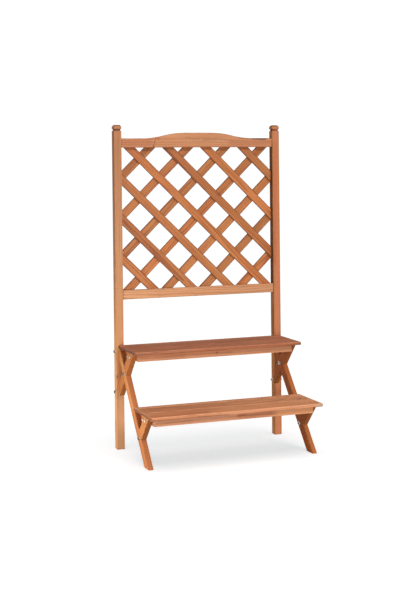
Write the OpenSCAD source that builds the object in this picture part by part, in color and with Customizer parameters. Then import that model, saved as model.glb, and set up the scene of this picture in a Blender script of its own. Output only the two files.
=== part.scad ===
// Plant ladder stand: a wooden trellis between two posts, with two shelves
// that step forward on a pair of braced side frames.
// Millimetres. +X is the viewer's right, the front faces -Y, +Z is up.
// The origin is on the floor, in the middle of the width and of the depth.

/* [Posts] */
// Width over the outer faces of the two posts
stand_w = 640; // [520:5:800]
// Height of the posts above the floor
stand_h = 1155; // [1050:5:1400]
// Side of the square posts
post_size = 28; // [26:1:36]
// Chamfer round the top of each post
head_chamfer = 5; // [2:0.5:8]
// Height of the groove cut round each post head
groove_h = 6; // [3:0.5:9]
// Depth of that groove
groove_depth = 3; // [1:0.5:4]
// From the top of the post down to the groove
groove_drop = 15; // [10:1:25]

/* [Trellis rails] */
// Height of both rails at their ends
rail_h = 33; // [28:1:45]
// Thickness of both rails, front to back
rail_t = 14; // [12:0.5:15]
// How far the rails sit behind the front of the posts
rail_setback = 2; // [1:0.5:3]
// From the top of the posts down to the ends of the top rail
top_rail_drop = 48; // [46:1:70]
// Height of the underside of the bottom rail above the floor
bottom_rail_z = 533; // [480:1:580]
// Rise of the top rail's middle above its ends
arch_rise = 20; // [8:1:24]
// Length of the level middle of the arch
arch_flat = 100; // [40:5:140]
// Length of each S-curved shoulder of the arch
arch_run = 165; // [120:5:180]

/* [Lattice] */
// Width of each lattice slat
slat_w = 30; // [20:1:36]
// Thickness of each lattice slat
slat_t = 6; // [4:0.5:6]
// Gap kept between the slat ends and the outer edges of the rails
slat_end_gap = 2; // [1:0.5:6]
// Radius of the nails at the crossings
nail_r = 0.9; // [0.7:0.1:1.2]

/* [Side frames] */
// Thickness of the legs and brackets
frame_t = 18; // [15:1:20]
// Width of the legs, across the grain
leg_w = 35; // [30:1:38]
// Width of the shelf brackets, across the grain
bracket_w = 38; // [32:1:42]
// From a post's outer face in to the side frame
frame_inset = 11.5; // [9:0.5:13]
// Lean of the legs from upright
leg_angle = 41.5; // [38:0.5:44]
// From the posts' face forward to the leg's front, just under the upper shelf
leg_lead = 5; // [1:0.5:8]
// Lean of the shelf brackets from upright
bracket_angle = 43.5; // [41:0.5:46]
// From a shelf's top down to where its bracket meets the leg's front
crossing_drop = 96; // [88:1:102]
// Thickness of the tenons that enter the posts
tenon_t = 8; // [6:0.5:9]
// Height of those tenons
tenon_h = 22; // [16:1:23]
// Length of those tenons
tenon_l = 22; // [19:0.5:23]

/* [Shelves] */
// Length of the shelf boards
shelf_l = 624; // [618:2:640]
// Height of the upper shelf's top above the floor
upper_shelf_h = 372; // [350:2:400]
// Height of the lower shelf's top above the floor
lower_shelf_h = 182; // [160:2:200]
// Thickness of the shelf boards
board_t = 11; // [9:0.5:15]
// Gap between neighbouring boards
board_gap = 5; // [3:0.5:8]
// Width of the board at the back of each shelf
back_board_w = 24; // [22:1:40]
// Width of the board in the middle
middle_board_w = 76; // [66:1:90]
// Width of the board at the front
front_board_w = 84; // [78:1:100]
// Height of the aprons and cleats below the boards
cleat_h = 27; // [24:1:34]
// Thickness of the aprons and cleats
cleat_t = 18; // [15:1:22]
// From a shelf's front edge back to its apron
apron_setback = 34; // [26:1:40]
// Length of cleat that runs back beside the leg of the lower shelf
cleat_tail = 30; // [20:1:34]

/* [Fasteners] */
// Radius of the bolts
bolt_r = 3; // [2.5:0.25:4]
// Clearance round a bolt in its hole
bolt_clearance = 0.25; // [0.1:0.05:0.5]
// Width across the flats of the bolt heads and nuts
hex_w = 10; // [9:0.5:12]
// Thickness of a bolt head
bolt_head_h = 4; // [3:0.25:6]
// Thickness of a nut
nut_h = 5; // [4:0.25:6]
// Radius of a washer
washer_r = 6.5; // [6:0.25:9]
// Thickness of a washer
washer_t = 1.6; // [1:0.1:2]
// From the underside of the upper shelf down to the leg's post bolt
leg_bolt_drop = 12.5; // [12:0.5:18]
// From the foot of the upper bracket up to its post bolt
bracket_bolt_rise = 13; // [12:0.5:20]
// Radius of the wood screws
screw_r = 2; // [1.5:0.25:2.5]
// Radius of the dowels
dowel_r = 3; // [2.5:0.25:4]

/* [Hidden] */

// Whole diamonds across the trellis and from rail to rail. Each layer then has
// one slat fewer than their sum.
diamonds_across = 4;
diamonds_down = 4;

fine = 48; // sides drawn on small round parts
arch_steps = 32; // flats drawn along each shoulder of the arch
over = 1; // how far a cut runs past the face that it starts from
tenon_root = 0.5; // how deep a tenon is rooted in its own piece

stained = "sienna";
light_stain = "peru";
zinc = "silver";

// Side profile, in Y and Z. Every slope is measured from upright.
leg_slope = tan(leg_angle);
bracket_slope = tan(bracket_angle);
leg_run = leg_w / cos(leg_angle);
bracket_run = bracket_w / cos(bracket_angle);
upper_under = upper_shelf_h - board_t;
lower_under = lower_shelf_h - board_t;
shelf_d = back_board_w + middle_board_w + front_board_w + 2 * board_gap;
lower_back = leg_lead + (upper_under - lower_under) * leg_slope;
stand_d = post_size + lower_back + shelf_d;
back_y = stand_d / 2;
face_y = back_y - post_size;
post_y = back_y - post_size / 2;

// Where each shelf's back edge lies: against the posts, and against the legs
upper_back_y = face_y;
lower_back_y = face_y - lower_back;

// Widths, in X
inner_x = stand_w / 2 - post_size;
post_x = stand_w / 2 - post_size / 2;
frame_x = stand_w / 2 - frame_inset;
frame_in_x = frame_x - frame_t;
frame_mid_x = frame_x - frame_t / 2;
cleat_x = frame_in_x - cleat_t;
cleat_mid_x = frame_in_x - cleat_t / 2;

// Heights of the rails and of the lattice grid
top_rail_z = stand_h - top_rail_drop - rail_h;
rail_y = face_y + rail_setback;
lattice_y = rail_y + rail_t;
grid_low = bottom_rail_z + 3 * slat_end_gap;
grid_high = top_rail_z + rail_h;
half_x = inner_x / diamonds_across;
half_z = (grid_high - grid_low) / (2 * diamonds_down);
slat_angle = atan(half_z / half_x);
arch_r = (arch_run * arch_run + arch_rise * arch_rise) / (4 * arch_rise);

dowel_l = 30;
dowel_spread = rail_h / 4;
apron_dowel_l = 24;
nail_head_r = 2.2 * nail_r;
nail_head_h = 0.8;
nail_depth = slat_t * 2 - 1;
rail_nail_depth = slat_t * 2 + rail_t / 2;
screw_head_r = 2 * screw_r;
screw_head_h = 2.4;
screw_bite = board_t * 0.7;
board_screw_l = cleat_h + screw_bite;
cleat_screw_l = cleat_t + frame_t * 0.6;
washer_hole_r = bolt_r + 0.4;
bolt_tail = 2;

// Front edge of the leg, of the upper bracket and of the lower bracket, at height z
function leg_front(z) = face_y - leg_lead - (upper_under - z) * leg_slope;
function leg_rear(z) = leg_front(z) + leg_run;
function bracket_front(z, shelf_h) =
    leg_front(shelf_h - crossing_drop) - (z - shelf_h + crossing_drop) * bracket_slope;
function bracket_rear(z, shelf_h) = bracket_front(z, shelf_h) + bracket_run;

// Height at which the front of the upper bracket reaches the post
bracket_foot_z = upper_shelf_h - crossing_drop
    - (face_y - leg_front(upper_shelf_h - crossing_drop)) / bracket_slope;
bracket_heel_z = bracket_foot_z + bracket_run / bracket_slope;
leg_heel_z = upper_under - (leg_run - leg_lead) / leg_slope;

// Middle of the crossing of the leg with a bracket
crossing_lift = (bracket_run - leg_run) / (2 * (leg_slope + bracket_slope));
function crossing_z(shelf_h) = shelf_h - crossing_drop + crossing_lift;
function crossing_y(shelf_h) = leg_front(crossing_z(shelf_h)) + leg_run / 2;

// Middle of the cleats, and the bolt that holds each one to its bracket
function cleat_mid_z(shelf_h) = shelf_h - board_t - cleat_h / 2;
function shelf_bolt_y(shelf_h) =
    bracket_front(cleat_mid_z(shelf_h), shelf_h) + bracket_run / 2;

// Middle of the wood of the leg beside a cleat
function leg_mid(z) = (leg_front(z) + min(face_y, leg_rear(z))) / 2;

leg_bolt_z = upper_under - leg_bolt_drop;
bracket_bolt_z = bracket_foot_z + bracket_bolt_rise;

// Bolts, each as [y, z, outer face x, inner face x]
post_bolt_list = [
    [post_y, leg_bolt_z, stand_w / 2, inner_x],
    [post_y, bracket_bolt_z, stand_w / 2, inner_x]
];
frame_bolt_list = [for (h = [upper_shelf_h, lower_shelf_h])
    [crossing_y(h), crossing_z(h), frame_x, frame_in_x]];
shelf_bolt_list = [for (h = [upper_shelf_h, lower_shelf_h])
    [shelf_bolt_y(h), cleat_mid_z(h), frame_x, cleat_x]];
all_bolts = concat(post_bolt_list, frame_bolt_list, shelf_bolt_list);

// Screws that come up through the cleats, as distances from a shelf's back edge
back_screw = back_board_w * 0.75;
middle_screws = [back_board_w + board_gap + middle_board_w / 5,
                 back_board_w + board_gap + middle_board_w * 0.75];
apron_screw_x = [-0.75, -0.25, 0.25, 0.75] * cleat_x;

// Extrudes a side profile drawn in Y and Z from low_x to high_x
module side_profile(points, low_x, high_x) {
    translate([low_x, 0, 0])
        rotate([90, 0, 90])
            linear_extrude(high_x - low_x) polygon(points);
}

// A round bar of a given radius from x0 to x1
module bar_x(y, z, x0, x1, r) {
    translate([min(x0, x1), y, z])
        rotate([0, 90, 0])
            cylinder(h = abs(x1 - x0), r = r, $fn = fine);
}

// The bolt holes of one side, cut wherever they pass through a piece
module bolt_holes(bolts) {
    for (b = bolts)
        bar_x(b[0], b[1], b[3] - over, b[2] + over, bolt_r + bolt_clearance);
}

// A dowel along X between two lengths measured from the post's inner face
module rail_dowel(z) {
    bar_x(rail_y + rail_t / 2, z, inner_x - dowel_l / 2, inner_x + dowel_l / 2, dowel_r);
}

module rail_dowel_pair() {
    for (rail_z = [top_rail_z, bottom_rail_z])
        for (s = [-1, 1])
            rail_dowel(rail_z + rail_h / 2 + s * dowel_spread);
}

// ---- Posts ----

// The tenon of a leg or bracket inside its post, rooted in its own piece and
// grown by gap at its end
module tenon(z, gap) {
    translate([frame_mid_x - tenon_t / 2, face_y - tenon_root, z - tenon_h / 2])
        cube([tenon_t, tenon_root + tenon_l + gap, tenon_h]);
}

module post_head_cuts() {
    side = head_chamfer * sqrt(2);
    for (turn = [0 : 90 : 270])
        translate([post_x, post_y, stand_h])
            rotate([0, 0, turn])
                translate([post_size / 2, 0, 0])
                    rotate([0, 45, 0])
                        cube([side, 2 * post_size, side], center = true);
    translate([post_x, post_y, stand_h - groove_drop - groove_h])
        linear_extrude(groove_h)
            difference() {
                square(post_size + 2 * over, center = true);
                square(post_size - 2 * groove_depth, center = true);
            }
}

module post() {
    color(light_stain)
        difference() {
            translate([inner_x, face_y, 0])
                cube([post_size, post_size, stand_h]);
            post_head_cuts();
            for (z = [leg_bolt_z, bracket_bolt_z])
                tenon(z, over);
            bolt_holes(post_bolt_list);
            rail_dowel_pair();
        }
}

// ---- Trellis rails ----

// Height of the arch above the rail's ends, at a distance out from its level middle
function arch_z(out) = out < arch_run / 2
    ? arch_rise - arch_r + sqrt(arch_r * arch_r - out * out)
    : arch_r - sqrt(arch_r * arch_r - (arch_run - out) * (arch_run - out));

arch_right = [for (i = [arch_steps : -1 : 0])
    let (out = arch_run * i / arch_steps)
    [arch_flat / 2 + out, rail_h + arch_z(out)]];

// Outline of the arched top rail, in X and Z
module arch_outline() {
    polygon(concat([[-inner_x, 0], [inner_x, 0], [inner_x, rail_h]],
                   arch_right,
                   [for (i = [arch_steps : -1 : 0]) [-arch_right[i][0], arch_right[i][1]]],
                   [[-inner_x, rail_h]]));
}

module rail_end_holes() {
    for (s = [0, 1])
        mirror([s, 0, 0]) rail_dowel_pair();
}

module top_rail() {
    color(stained)
        difference() {
            translate([0, rail_y + rail_t, top_rail_z])
                rotate([90, 0, 0])
                    linear_extrude(rail_t) arch_outline();
            rail_end_holes();
            rail_nail_set();
        }
}

module bottom_rail() {
    color(stained)
        difference() {
            translate([-inner_x, rail_y, bottom_rail_z])
                cube([2 * inner_x, rail_t, rail_h]);
            rail_end_holes();
            rail_nail_set();
        }
}

// ---- Lattice ----

// A nail driven from the back at x and z, to a given depth
module nail(x, z, depth) {
    translate([x, lattice_y + 2 * slat_t, z])
        rotate([90, 0, 0]) {
            cylinder(h = depth, r = nail_r, $fn = fine);
            cylinder(h = nail_head_h, r = nail_head_r, $fn = fine);
        }
}

// One nail where each pair of slats crosses inside the panel
module crossing_nail_set() {
    for (row = [1 : 2 * diamonds_down - 1])
        for (column = [1 - diamonds_across : diamonds_across - 1])
            if ((row + column + diamonds_across) % 2 == 0)
                nail(column * half_x, grid_high - row * half_z, nail_depth);
}

// Nails through the slats into both rails, where slats cross behind them
module rail_nail_set() {
    for (column = [2 - diamonds_across : 2 : diamonds_across - 2])
        for (z = [grid_high - rail_h / 3, grid_low + rail_h / 3])
            nail(column * half_x, z, rail_nail_depth);
}

// Outline of one slat that falls to the right from x_top on the grid's top line
module slat_outline(x_top) {
    length = 2 * (inner_x + grid_high - grid_low);
    intersection() {
        translate([-inner_x, bottom_rail_z + slat_end_gap])
            square([2 * inner_x, grid_high - bottom_rail_z - 2 * slat_end_gap]);
        translate([x_top, grid_high])
            rotate(-slat_angle)
                square([length, slat_w], center = true);
    }
}

// Slat number i of a layer, counted from the left at the top of the panel
module lattice_slat(i, layer) {
    x_top = -inner_x + 2 * half_x * (i - diamonds_down);
    color(stained)
        difference() {
            translate([0, lattice_y + slat_t * (layer + 1), 0])
                rotate([90, 0, 0])
                    linear_extrude(slat_t)
                        mirror([layer, 0]) slat_outline(x_top);
            crossing_nail_set();
            rail_nail_set();
        }
}

module lattice_nails() {
    color(zinc) {
        crossing_nail_set();
        rail_nail_set();
    }
}

// ---- Side frames ----

leg_points = [
    [leg_front(0), 0],
    [leg_front(upper_under), upper_under],
    [face_y, upper_under],
    [face_y, leg_heel_z],
    [leg_rear(0), 0]
];

upper_bracket_points = [
    [bracket_front(upper_under, upper_shelf_h), upper_under],
    [bracket_rear(upper_under, upper_shelf_h), upper_under],
    [face_y, bracket_heel_z],
    [face_y, bracket_foot_z]
];

// The lower bracket ends flush with the back of the leg
lower_toe_z = lower_shelf_h - crossing_drop - leg_run / (leg_slope + bracket_slope);
lower_heel_z = lower_toe_z + bracket_run / (leg_slope + bracket_slope);
lower_bracket_points = [
    [bracket_front(lower_under, lower_shelf_h), lower_under],
    [bracket_rear(lower_under, lower_shelf_h), lower_under],
    [leg_rear(lower_heel_z), lower_heel_z],
    [leg_rear(lower_toe_z), lower_toe_z]
];

// The strip that a bracket takes out of the leg's inner half, right through it
module bracket_lap(shelf_h) {
    high = shelf_h - board_t;
    low = shelf_h - crossing_drop - bracket_run;
    side_profile([[bracket_front(high, shelf_h), high], [bracket_rear(high, shelf_h), high],
                  [bracket_rear(low, shelf_h), low], [bracket_front(low, shelf_h), low]],
                 frame_in_x - over, frame_mid_x);
}

// The strip that the leg takes out of a bracket's outer half, grown at the back
module leg_lap(behind) {
    side_profile([[leg_front(-over), -over], [leg_front(upper_shelf_h), upper_shelf_h],
                  [leg_rear(upper_shelf_h) + behind, upper_shelf_h],
                  [leg_rear(-over) + behind, -over]],
                 frame_mid_x, frame_x + over);
}

// At each crossing the leg keeps its outer half and the bracket its inner half
module leg() {
    color(light_stain)
        difference() {
            union() {
                side_profile(leg_points, frame_in_x, frame_x);
                tenon(leg_bolt_z, 0);
            }
            bracket_lap(upper_shelf_h);
            bracket_lap(lower_shelf_h);
            bolt_holes(all_bolts);
            cleat_screw_set();
        }
}

module upper_bracket() {
    color(light_stain)
        difference() {
            union() {
                side_profile(upper_bracket_points, frame_in_x, frame_x);
                tenon(bracket_bolt_z, 0);
            }
            leg_lap(0);
            bolt_holes(all_bolts);
        }
}

module lower_bracket() {
    color(light_stain)
        difference() {
            side_profile(lower_bracket_points, frame_in_x, frame_x);
            leg_lap(over);
            bolt_holes(all_bolts);
        }
}

// ---- Shelves ----

// A board across the shelf, its back edge set forward from the shelf's own
module board(shelf_h, shelf_back, forward, w) {
    color(stained)
        difference() {
            translate([-shelf_l / 2, shelf_back - forward - w, shelf_h - board_t])
                cube([shelf_l, w, board_t]);
            board_screw_set(shelf_h, shelf_back);
        }
}

module back_board(shelf_h, shelf_back) {
    board(shelf_h, shelf_back, 0, back_board_w);
}

module middle_board(shelf_h, shelf_back) {
    board(shelf_h, shelf_back, back_board_w + board_gap, middle_board_w);
}

module front_board(shelf_h, shelf_back) {
    board(shelf_h, shelf_back, shelf_d - front_board_w, front_board_w);
}

// The apron runs between the side frames, under the front board
module apron(shelf_h, shelf_back) {
    color(light_stain)
        difference() {
            translate([-frame_in_x, shelf_back - shelf_d + apron_setback,
                       shelf_h - board_t - cleat_h])
                cube([2 * frame_in_x, cleat_t, cleat_h]);
            board_screw_set(shelf_h, shelf_back);
            apron_dowel_set(shelf_h, shelf_back);
        }
}

// A cleat carries the board ends, beside the side frame
module cleat(shelf_h, shelf_back, tail) {
    front = shelf_back - shelf_d + apron_setback + cleat_t;
    color(stained)
        difference() {
            translate([cleat_x, front, shelf_h - board_t - cleat_h])
                cube([cleat_t, shelf_back + tail - front, cleat_h]);
            bolt_holes(all_bolts);
            board_screw_set(shelf_h, shelf_back);
            apron_dowel_set(shelf_h, shelf_back);
            cleat_screw_set();
        }
}

// ---- Fasteners ----

// A countersunk wood screw that points up, with its head at the origin
module screw(length) {
    cylinder(h = screw_head_h, r1 = screw_head_r, r2 = screw_r, $fn = fine);
    cylinder(h = length, r = screw_r, $fn = fine);
}

// Screws that come up through the cleats and the apron into the boards
module board_screw_set(shelf_h, shelf_back) {
    z = shelf_h - board_t - cleat_h;
    for (s = [-1, 1])
        for (d = concat([back_screw], middle_screws))
            translate([s * cleat_mid_x, shelf_back - d, z])
                screw(board_screw_l);
    for (x = apron_screw_x)
        translate([x, shelf_back - shelf_d + apron_setback + cleat_t / 2, z])
            screw(board_screw_l);
}

module board_screws() {
    color(zinc) {
        board_screw_set(upper_shelf_h, upper_back_y);
        board_screw_set(lower_shelf_h, lower_back_y);
    }
}

// Screws from inside each right-hand cleat into its leg
module cleat_screw_set() {
    for (h = [upper_shelf_h, lower_shelf_h])
        translate([cleat_x, leg_mid(cleat_mid_z(h)), cleat_mid_z(h)])
            rotate([0, 90, 0]) screw(cleat_screw_l);
}

module cleat_screws() {
    color(zinc) both_sides() cleat_screw_set();
}

// Dowels that hold the apron to the front ends of its cleats
module apron_dowel_set(shelf_h, shelf_back) {
    joint_y = shelf_back - shelf_d + apron_setback + cleat_t;
    for (s = [-1, 1])
        translate([s * cleat_mid_x, joint_y + apron_dowel_l / 2, cleat_mid_z(shelf_h)])
            rotate([90, 0, 0])
                cylinder(h = apron_dowel_l, r = dowel_r, $fn = fine);
}

module apron_dowels() {
    color(light_stain) {
        apron_dowel_set(upper_shelf_h, upper_back_y);
        apron_dowel_set(lower_shelf_h, lower_back_y);
    }
}

module rail_dowels() {
    color(light_stain) both_sides() rail_dowel_pair();
}

module hexagon(h) {
    rotate([0, 90, 0])
        cylinder(h = h, r = hex_w / 2 / cos(30), $fn = 6);
}

// A bolt of the right-hand side, head outside and tail past its nut
module bolt(b) {
    bar_x(b[0], b[1], b[3] - washer_t - nut_h - bolt_tail, b[2] + washer_t, bolt_r);
    translate([b[2] + washer_t, b[0], b[1]]) hexagon(bolt_head_h);
}

module nut(b) {
    difference() {
        translate([b[3] - washer_t - nut_h, b[0], b[1]]) hexagon(nut_h);
        bar_x(b[0], b[1], b[3] - washer_t - nut_h - over, b[3], bolt_r);
    }
}

// Two washers, one under the head and one under the nut
module washer_pair(b) {
    difference() {
        union() {
            bar_x(b[0], b[1], b[2], b[2] + washer_t, washer_r);
            bar_x(b[0], b[1], b[3] - washer_t, b[3], washer_r);
        }
        bar_x(b[0], b[1], b[3] - washer_t - over, b[2] + washer_t + over, washer_hole_r);
    }
}

module bolt_group(bolts) {
    color(zinc) both_sides() for (b = bolts) bolt(b);
}

module washers() {
    color(zinc) both_sides() for (b = all_bolts) washer_pair(b);
}

module nuts() {
    color(zinc) both_sides() for (b = all_bolts) nut(b);
}

// ---- Sides ----

module left_side() {
    mirror([1, 0, 0]) children();
}

module both_sides() {
    children();
    left_side() children();
}

left_side() post();  // post_left
post();  // post_right
top_rail();
bottom_rail();

lattice_slat(1, 0);  // lattice_front_1
lattice_slat(2, 0);  // lattice_front_2
lattice_slat(3, 0);  // lattice_front_3
lattice_slat(4, 0);  // lattice_front_4
lattice_slat(5, 0);  // lattice_front_5
lattice_slat(6, 0);  // lattice_front_6
lattice_slat(7, 0);  // lattice_front_7
lattice_slat(1, 1);  // lattice_rear_1
lattice_slat(2, 1);  // lattice_rear_2
lattice_slat(3, 1);  // lattice_rear_3
lattice_slat(4, 1);  // lattice_rear_4
lattice_slat(5, 1);  // lattice_rear_5
lattice_slat(6, 1);  // lattice_rear_6
lattice_slat(7, 1);  // lattice_rear_7

left_side() leg();  // leg_left
leg();  // leg_right
left_side() upper_bracket();  // upper_bracket_left
upper_bracket();  // upper_bracket_right
left_side() lower_bracket();  // lower_bracket_left
lower_bracket();  // lower_bracket_right

back_board(upper_shelf_h, upper_back_y);  // upper_board_back
middle_board(upper_shelf_h, upper_back_y);  // upper_board_middle
front_board(upper_shelf_h, upper_back_y);  // upper_board_front
back_board(lower_shelf_h, lower_back_y);  // lower_board_back
middle_board(lower_shelf_h, lower_back_y);  // lower_board_middle
front_board(lower_shelf_h, lower_back_y);  // lower_board_front

apron(upper_shelf_h, upper_back_y);  // upper_apron
apron(lower_shelf_h, lower_back_y);  // lower_apron
left_side() cleat(upper_shelf_h, upper_back_y, 0);  // upper_cleat_left
cleat(upper_shelf_h, upper_back_y, 0);  // upper_cleat_right
left_side() cleat(lower_shelf_h, lower_back_y, cleat_tail);  // lower_cleat_left
cleat(lower_shelf_h, lower_back_y, cleat_tail);  // lower_cleat_right

rail_dowels();
apron_dowels();
lattice_nails();
board_screws();
cleat_screws();
bolt_group(post_bolt_list);  // post_bolts
bolt_group(frame_bolt_list);  // frame_bolts
bolt_group(shelf_bolt_list);  // shelf_bolts
washers();
nuts();
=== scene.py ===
# %% [markdown]
# # A wooden plant ladder stand
# Two square posts carry a diamond lattice under an arched rail. In front of them two
# slatted shelves step forward on braced legs. Nearly every piece is a stick or a board of
# stained pine, so the lesson is about three things: cutting sticks to shape, easing their
# edges, and giving each one its own grain. Zinc bolts, nails and screws hold it together.
#
# Every piece already stands in the scene as a plain solid from the CAD model. Each one is
# made anew here, finer, from the box of its solid, and then takes its place. So nearly every
# size is read from the model instead of being measured a second time.

# %% Load the frame
import math

import bmesh
import bpy
from mathutils import Euler, Matrix, Vector


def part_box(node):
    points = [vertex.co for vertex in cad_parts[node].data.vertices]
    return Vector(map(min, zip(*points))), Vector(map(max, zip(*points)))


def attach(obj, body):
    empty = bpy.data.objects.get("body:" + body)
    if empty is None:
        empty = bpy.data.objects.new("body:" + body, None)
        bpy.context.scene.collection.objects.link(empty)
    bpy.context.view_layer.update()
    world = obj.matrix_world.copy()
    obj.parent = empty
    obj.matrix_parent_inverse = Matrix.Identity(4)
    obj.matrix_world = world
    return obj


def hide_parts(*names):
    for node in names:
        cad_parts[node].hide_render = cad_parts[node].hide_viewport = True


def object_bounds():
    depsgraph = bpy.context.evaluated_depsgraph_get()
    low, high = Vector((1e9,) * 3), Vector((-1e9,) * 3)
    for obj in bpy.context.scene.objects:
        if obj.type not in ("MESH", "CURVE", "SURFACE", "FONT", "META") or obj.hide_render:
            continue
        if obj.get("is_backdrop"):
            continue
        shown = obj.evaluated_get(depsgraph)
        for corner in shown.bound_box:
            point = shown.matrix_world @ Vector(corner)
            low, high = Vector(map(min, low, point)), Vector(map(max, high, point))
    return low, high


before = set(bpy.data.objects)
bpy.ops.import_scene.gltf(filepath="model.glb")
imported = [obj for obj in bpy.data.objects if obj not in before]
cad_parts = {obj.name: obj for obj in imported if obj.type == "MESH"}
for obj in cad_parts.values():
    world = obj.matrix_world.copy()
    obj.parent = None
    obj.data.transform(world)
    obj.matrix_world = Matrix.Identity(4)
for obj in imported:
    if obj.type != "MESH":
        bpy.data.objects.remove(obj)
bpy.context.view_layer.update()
MM = 0.001

# %% [markdown]
# ## The camera
# The photograph was taken from the left of the front, at about the height of the arch.
# Its lens pointed almost level, and the picture was framed lower, which the shift repeats.
# Tilting the camera down would frame the stand too, but its posts would then lean towards
# each other; a level camera keeps them upright.

# %% Camera
CAMERA_PLACE = Vector((-1.523, -3.938, 1.003))
CAMERA_TURN = math.radians(20.51)
CAMERA_DIP = math.radians(0.63)
CAMERA_ROLL = math.radians(-0.60)
PICTURE_HEIGHT = 601
FOCAL_PIXELS = 1204
# How far the middle of the lens lies from the middle of the picture, in pixels
CENTRE_OFF_X = 2.0
CENTRE_OFF_Y = 120.5

camera_data = bpy.data.cameras.new("camera")
camera_data.sensor_width = 36
camera_data.lens = FOCAL_PIXELS * camera_data.sensor_width / PICTURE_HEIGHT
camera_data.shift_x = -CENTRE_OFF_X / PICTURE_HEIGHT
camera_data.shift_y = -CENTRE_OFF_Y / PICTURE_HEIGHT
camera = bpy.data.objects.new("camera", camera_data)
camera.matrix_world = (
    Matrix.Translation(CAMERA_PLACE)
    @ Matrix.Rotation(-CAMERA_TURN, 4, "Z")
    @ Matrix.Rotation(math.pi / 2 - CAMERA_DIP, 4, "X")
    @ Matrix.Rotation(CAMERA_ROLL, 4, "Z")
)
bpy.context.scene.collection.objects.link(camera)
bpy.context.scene.camera = camera
print("lens", round(camera_data.lens, 2), "mm")

# %% [markdown]
# ## Floor and light
# The stand was photographed on white. A picture of a studio wrapped round the scene would
# light it quickly, but lamps can be aimed and dimmed one by one. An even white dome and a
# wide light overhead leave a soft grey shadow under it, and the floor glows a little, as a
# lit studio floor does, so that it fades into the backdrop. Brown wood throws brown light
# back on the floor: the floor's tone is tinted against it and the glow makes up the
# difference, so the shadow stays grey.
#
# A narrower sun from the front, about 30 degrees up, throws the shadow of the upper shelf on
# the posts. Two low lamps open the shade under the shelves and beside the left leg, and two
# weak suns behind shape the back. Only the overhead sun lights the floor: light linking makes
# the others skip it.

# %% Floor
STUDIO = bpy.context.scene
STUDIO.view_settings.view_transform = "Standard"
DOME = 0.16
OVERHEAD_WATTS = 1.4
OVERHEAD_RISE = 76
FLOOR_TONE = (0.70, 0.612, 0.596)
FLOOR_WHITE = 1.05
GLOW_ON_STAND = 0.1
FLOOR_SIZE = 40


def link(obj):
    """Puts an object in the scene."""
    STUDIO.collection.objects.link(obj)
    return obj


def to_mesh(bm, name):
    """Turns a bmesh that is ready into a mesh."""
    mesh = bpy.data.meshes.new(name)
    bm.to_mesh(mesh)
    bm.free()
    return mesh


def floor_sheet(size):
    """A level square on the ground, size metres wide."""
    bm = bmesh.new()
    bmesh.ops.create_grid(bm, x_segments=1, y_segments=1, size=size / 2)
    return link(bpy.data.objects.new("floor", to_mesh(bm, "floor")))


def for_the_camera(tree, socket, shown, elsewhere):
    """Feeds a socket one value for what the camera sees and another for all other light."""
    path = tree.nodes.new("ShaderNodeLightPath")
    level = tree.nodes.new("ShaderNodeMix")
    level.inputs["A"].default_value = elsewhere
    level.inputs["B"].default_value = shown
    tree.links.new(path.outputs["Is Camera Ray"], level.inputs["Factor"])
    tree.links.new(level.outputs["Result"], socket)


def floor_material():
    """Matt, and glowing by what its light leaves to the full white; the stand gets less of it."""
    lit = DOME + OVERHEAD_WATTS * math.sin(math.radians(OVERHEAD_RISE)) / math.pi
    glow = [FLOOR_WHITE - tone * lit for tone in FLOOR_TONE]
    material = bpy.data.materials.new("pale floor")
    material.use_nodes = True
    shader = material.node_tree.nodes["Principled BSDF"]
    shader.inputs["Base Color"].default_value = (*FLOOR_TONE, 1)
    shader.inputs["Roughness"].default_value = 1.0
    shader.inputs["Specular IOR Level"].default_value = 0.0
    shader.inputs["Emission Color"].default_value = (*glow, 1)
    for_the_camera(material.node_tree, shader.inputs["Emission Strength"], 1.0, GLOW_ON_STAND)
    return material


floor = floor_sheet(FLOOR_SIZE)
floor.data.materials.append(floor_material())
floor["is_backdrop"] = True
print("floor", FLOOR_SIZE, "m wide")

# %% Lamps and world
LOOK_AT = Vector((0, 0, 0.3))
skipped_by_lamps = bpy.data.collections.new("floor skipped by lamps")
skipped_by_lamps.objects.link(floor)
skipped_by_lamps.collection_objects[0].light_linking.link_state = "EXCLUDE"


def place_lamp(data, turn, rise, distance, aim=LOOK_AT, lights_floor=False):
    """Points a lamp at the stand, turned from the front and raised, in degrees."""
    lamp = link(bpy.data.objects.new(data.name, data))
    turn = math.radians(turn)
    rise = math.radians(rise)
    level = Vector((math.sin(turn), -math.cos(turn), 0))
    away = level * math.cos(rise) + Vector((0, 0, math.sin(rise)))
    lamp.location = aim + away * distance
    lamp.rotation_euler = away.to_track_quat("Z", "Y").to_euler()
    lamp.visible_camera = False
    if not lights_floor:
        lamp.light_linking.receiver_collection = skipped_by_lamps
    return lamp


def wide_sun(name, watts, width):
    """A sun whose disc is width degrees across, for a soft shadow."""
    data = bpy.data.lights.new(name, "SUN")
    data.energy = watts
    data.angle = math.radians(width)
    return data


def soft_disc(name, watts, size, tint=(1, 1, 1)):
    """A round soft box, size metres across."""
    data = bpy.data.lights.new(name, "AREA")
    data.shape = "DISK"
    data.color = tint
    data.energy = watts
    data.size = size
    return data


SUN_DISTANCE = 5
UNDER_THE_SHELVES = Vector((0, 0, 0.55))
LEFT_FRAME = Vector((0, -0.05, 0.12))
GREENISH = (0.90, 1.0, 0.80)
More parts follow.
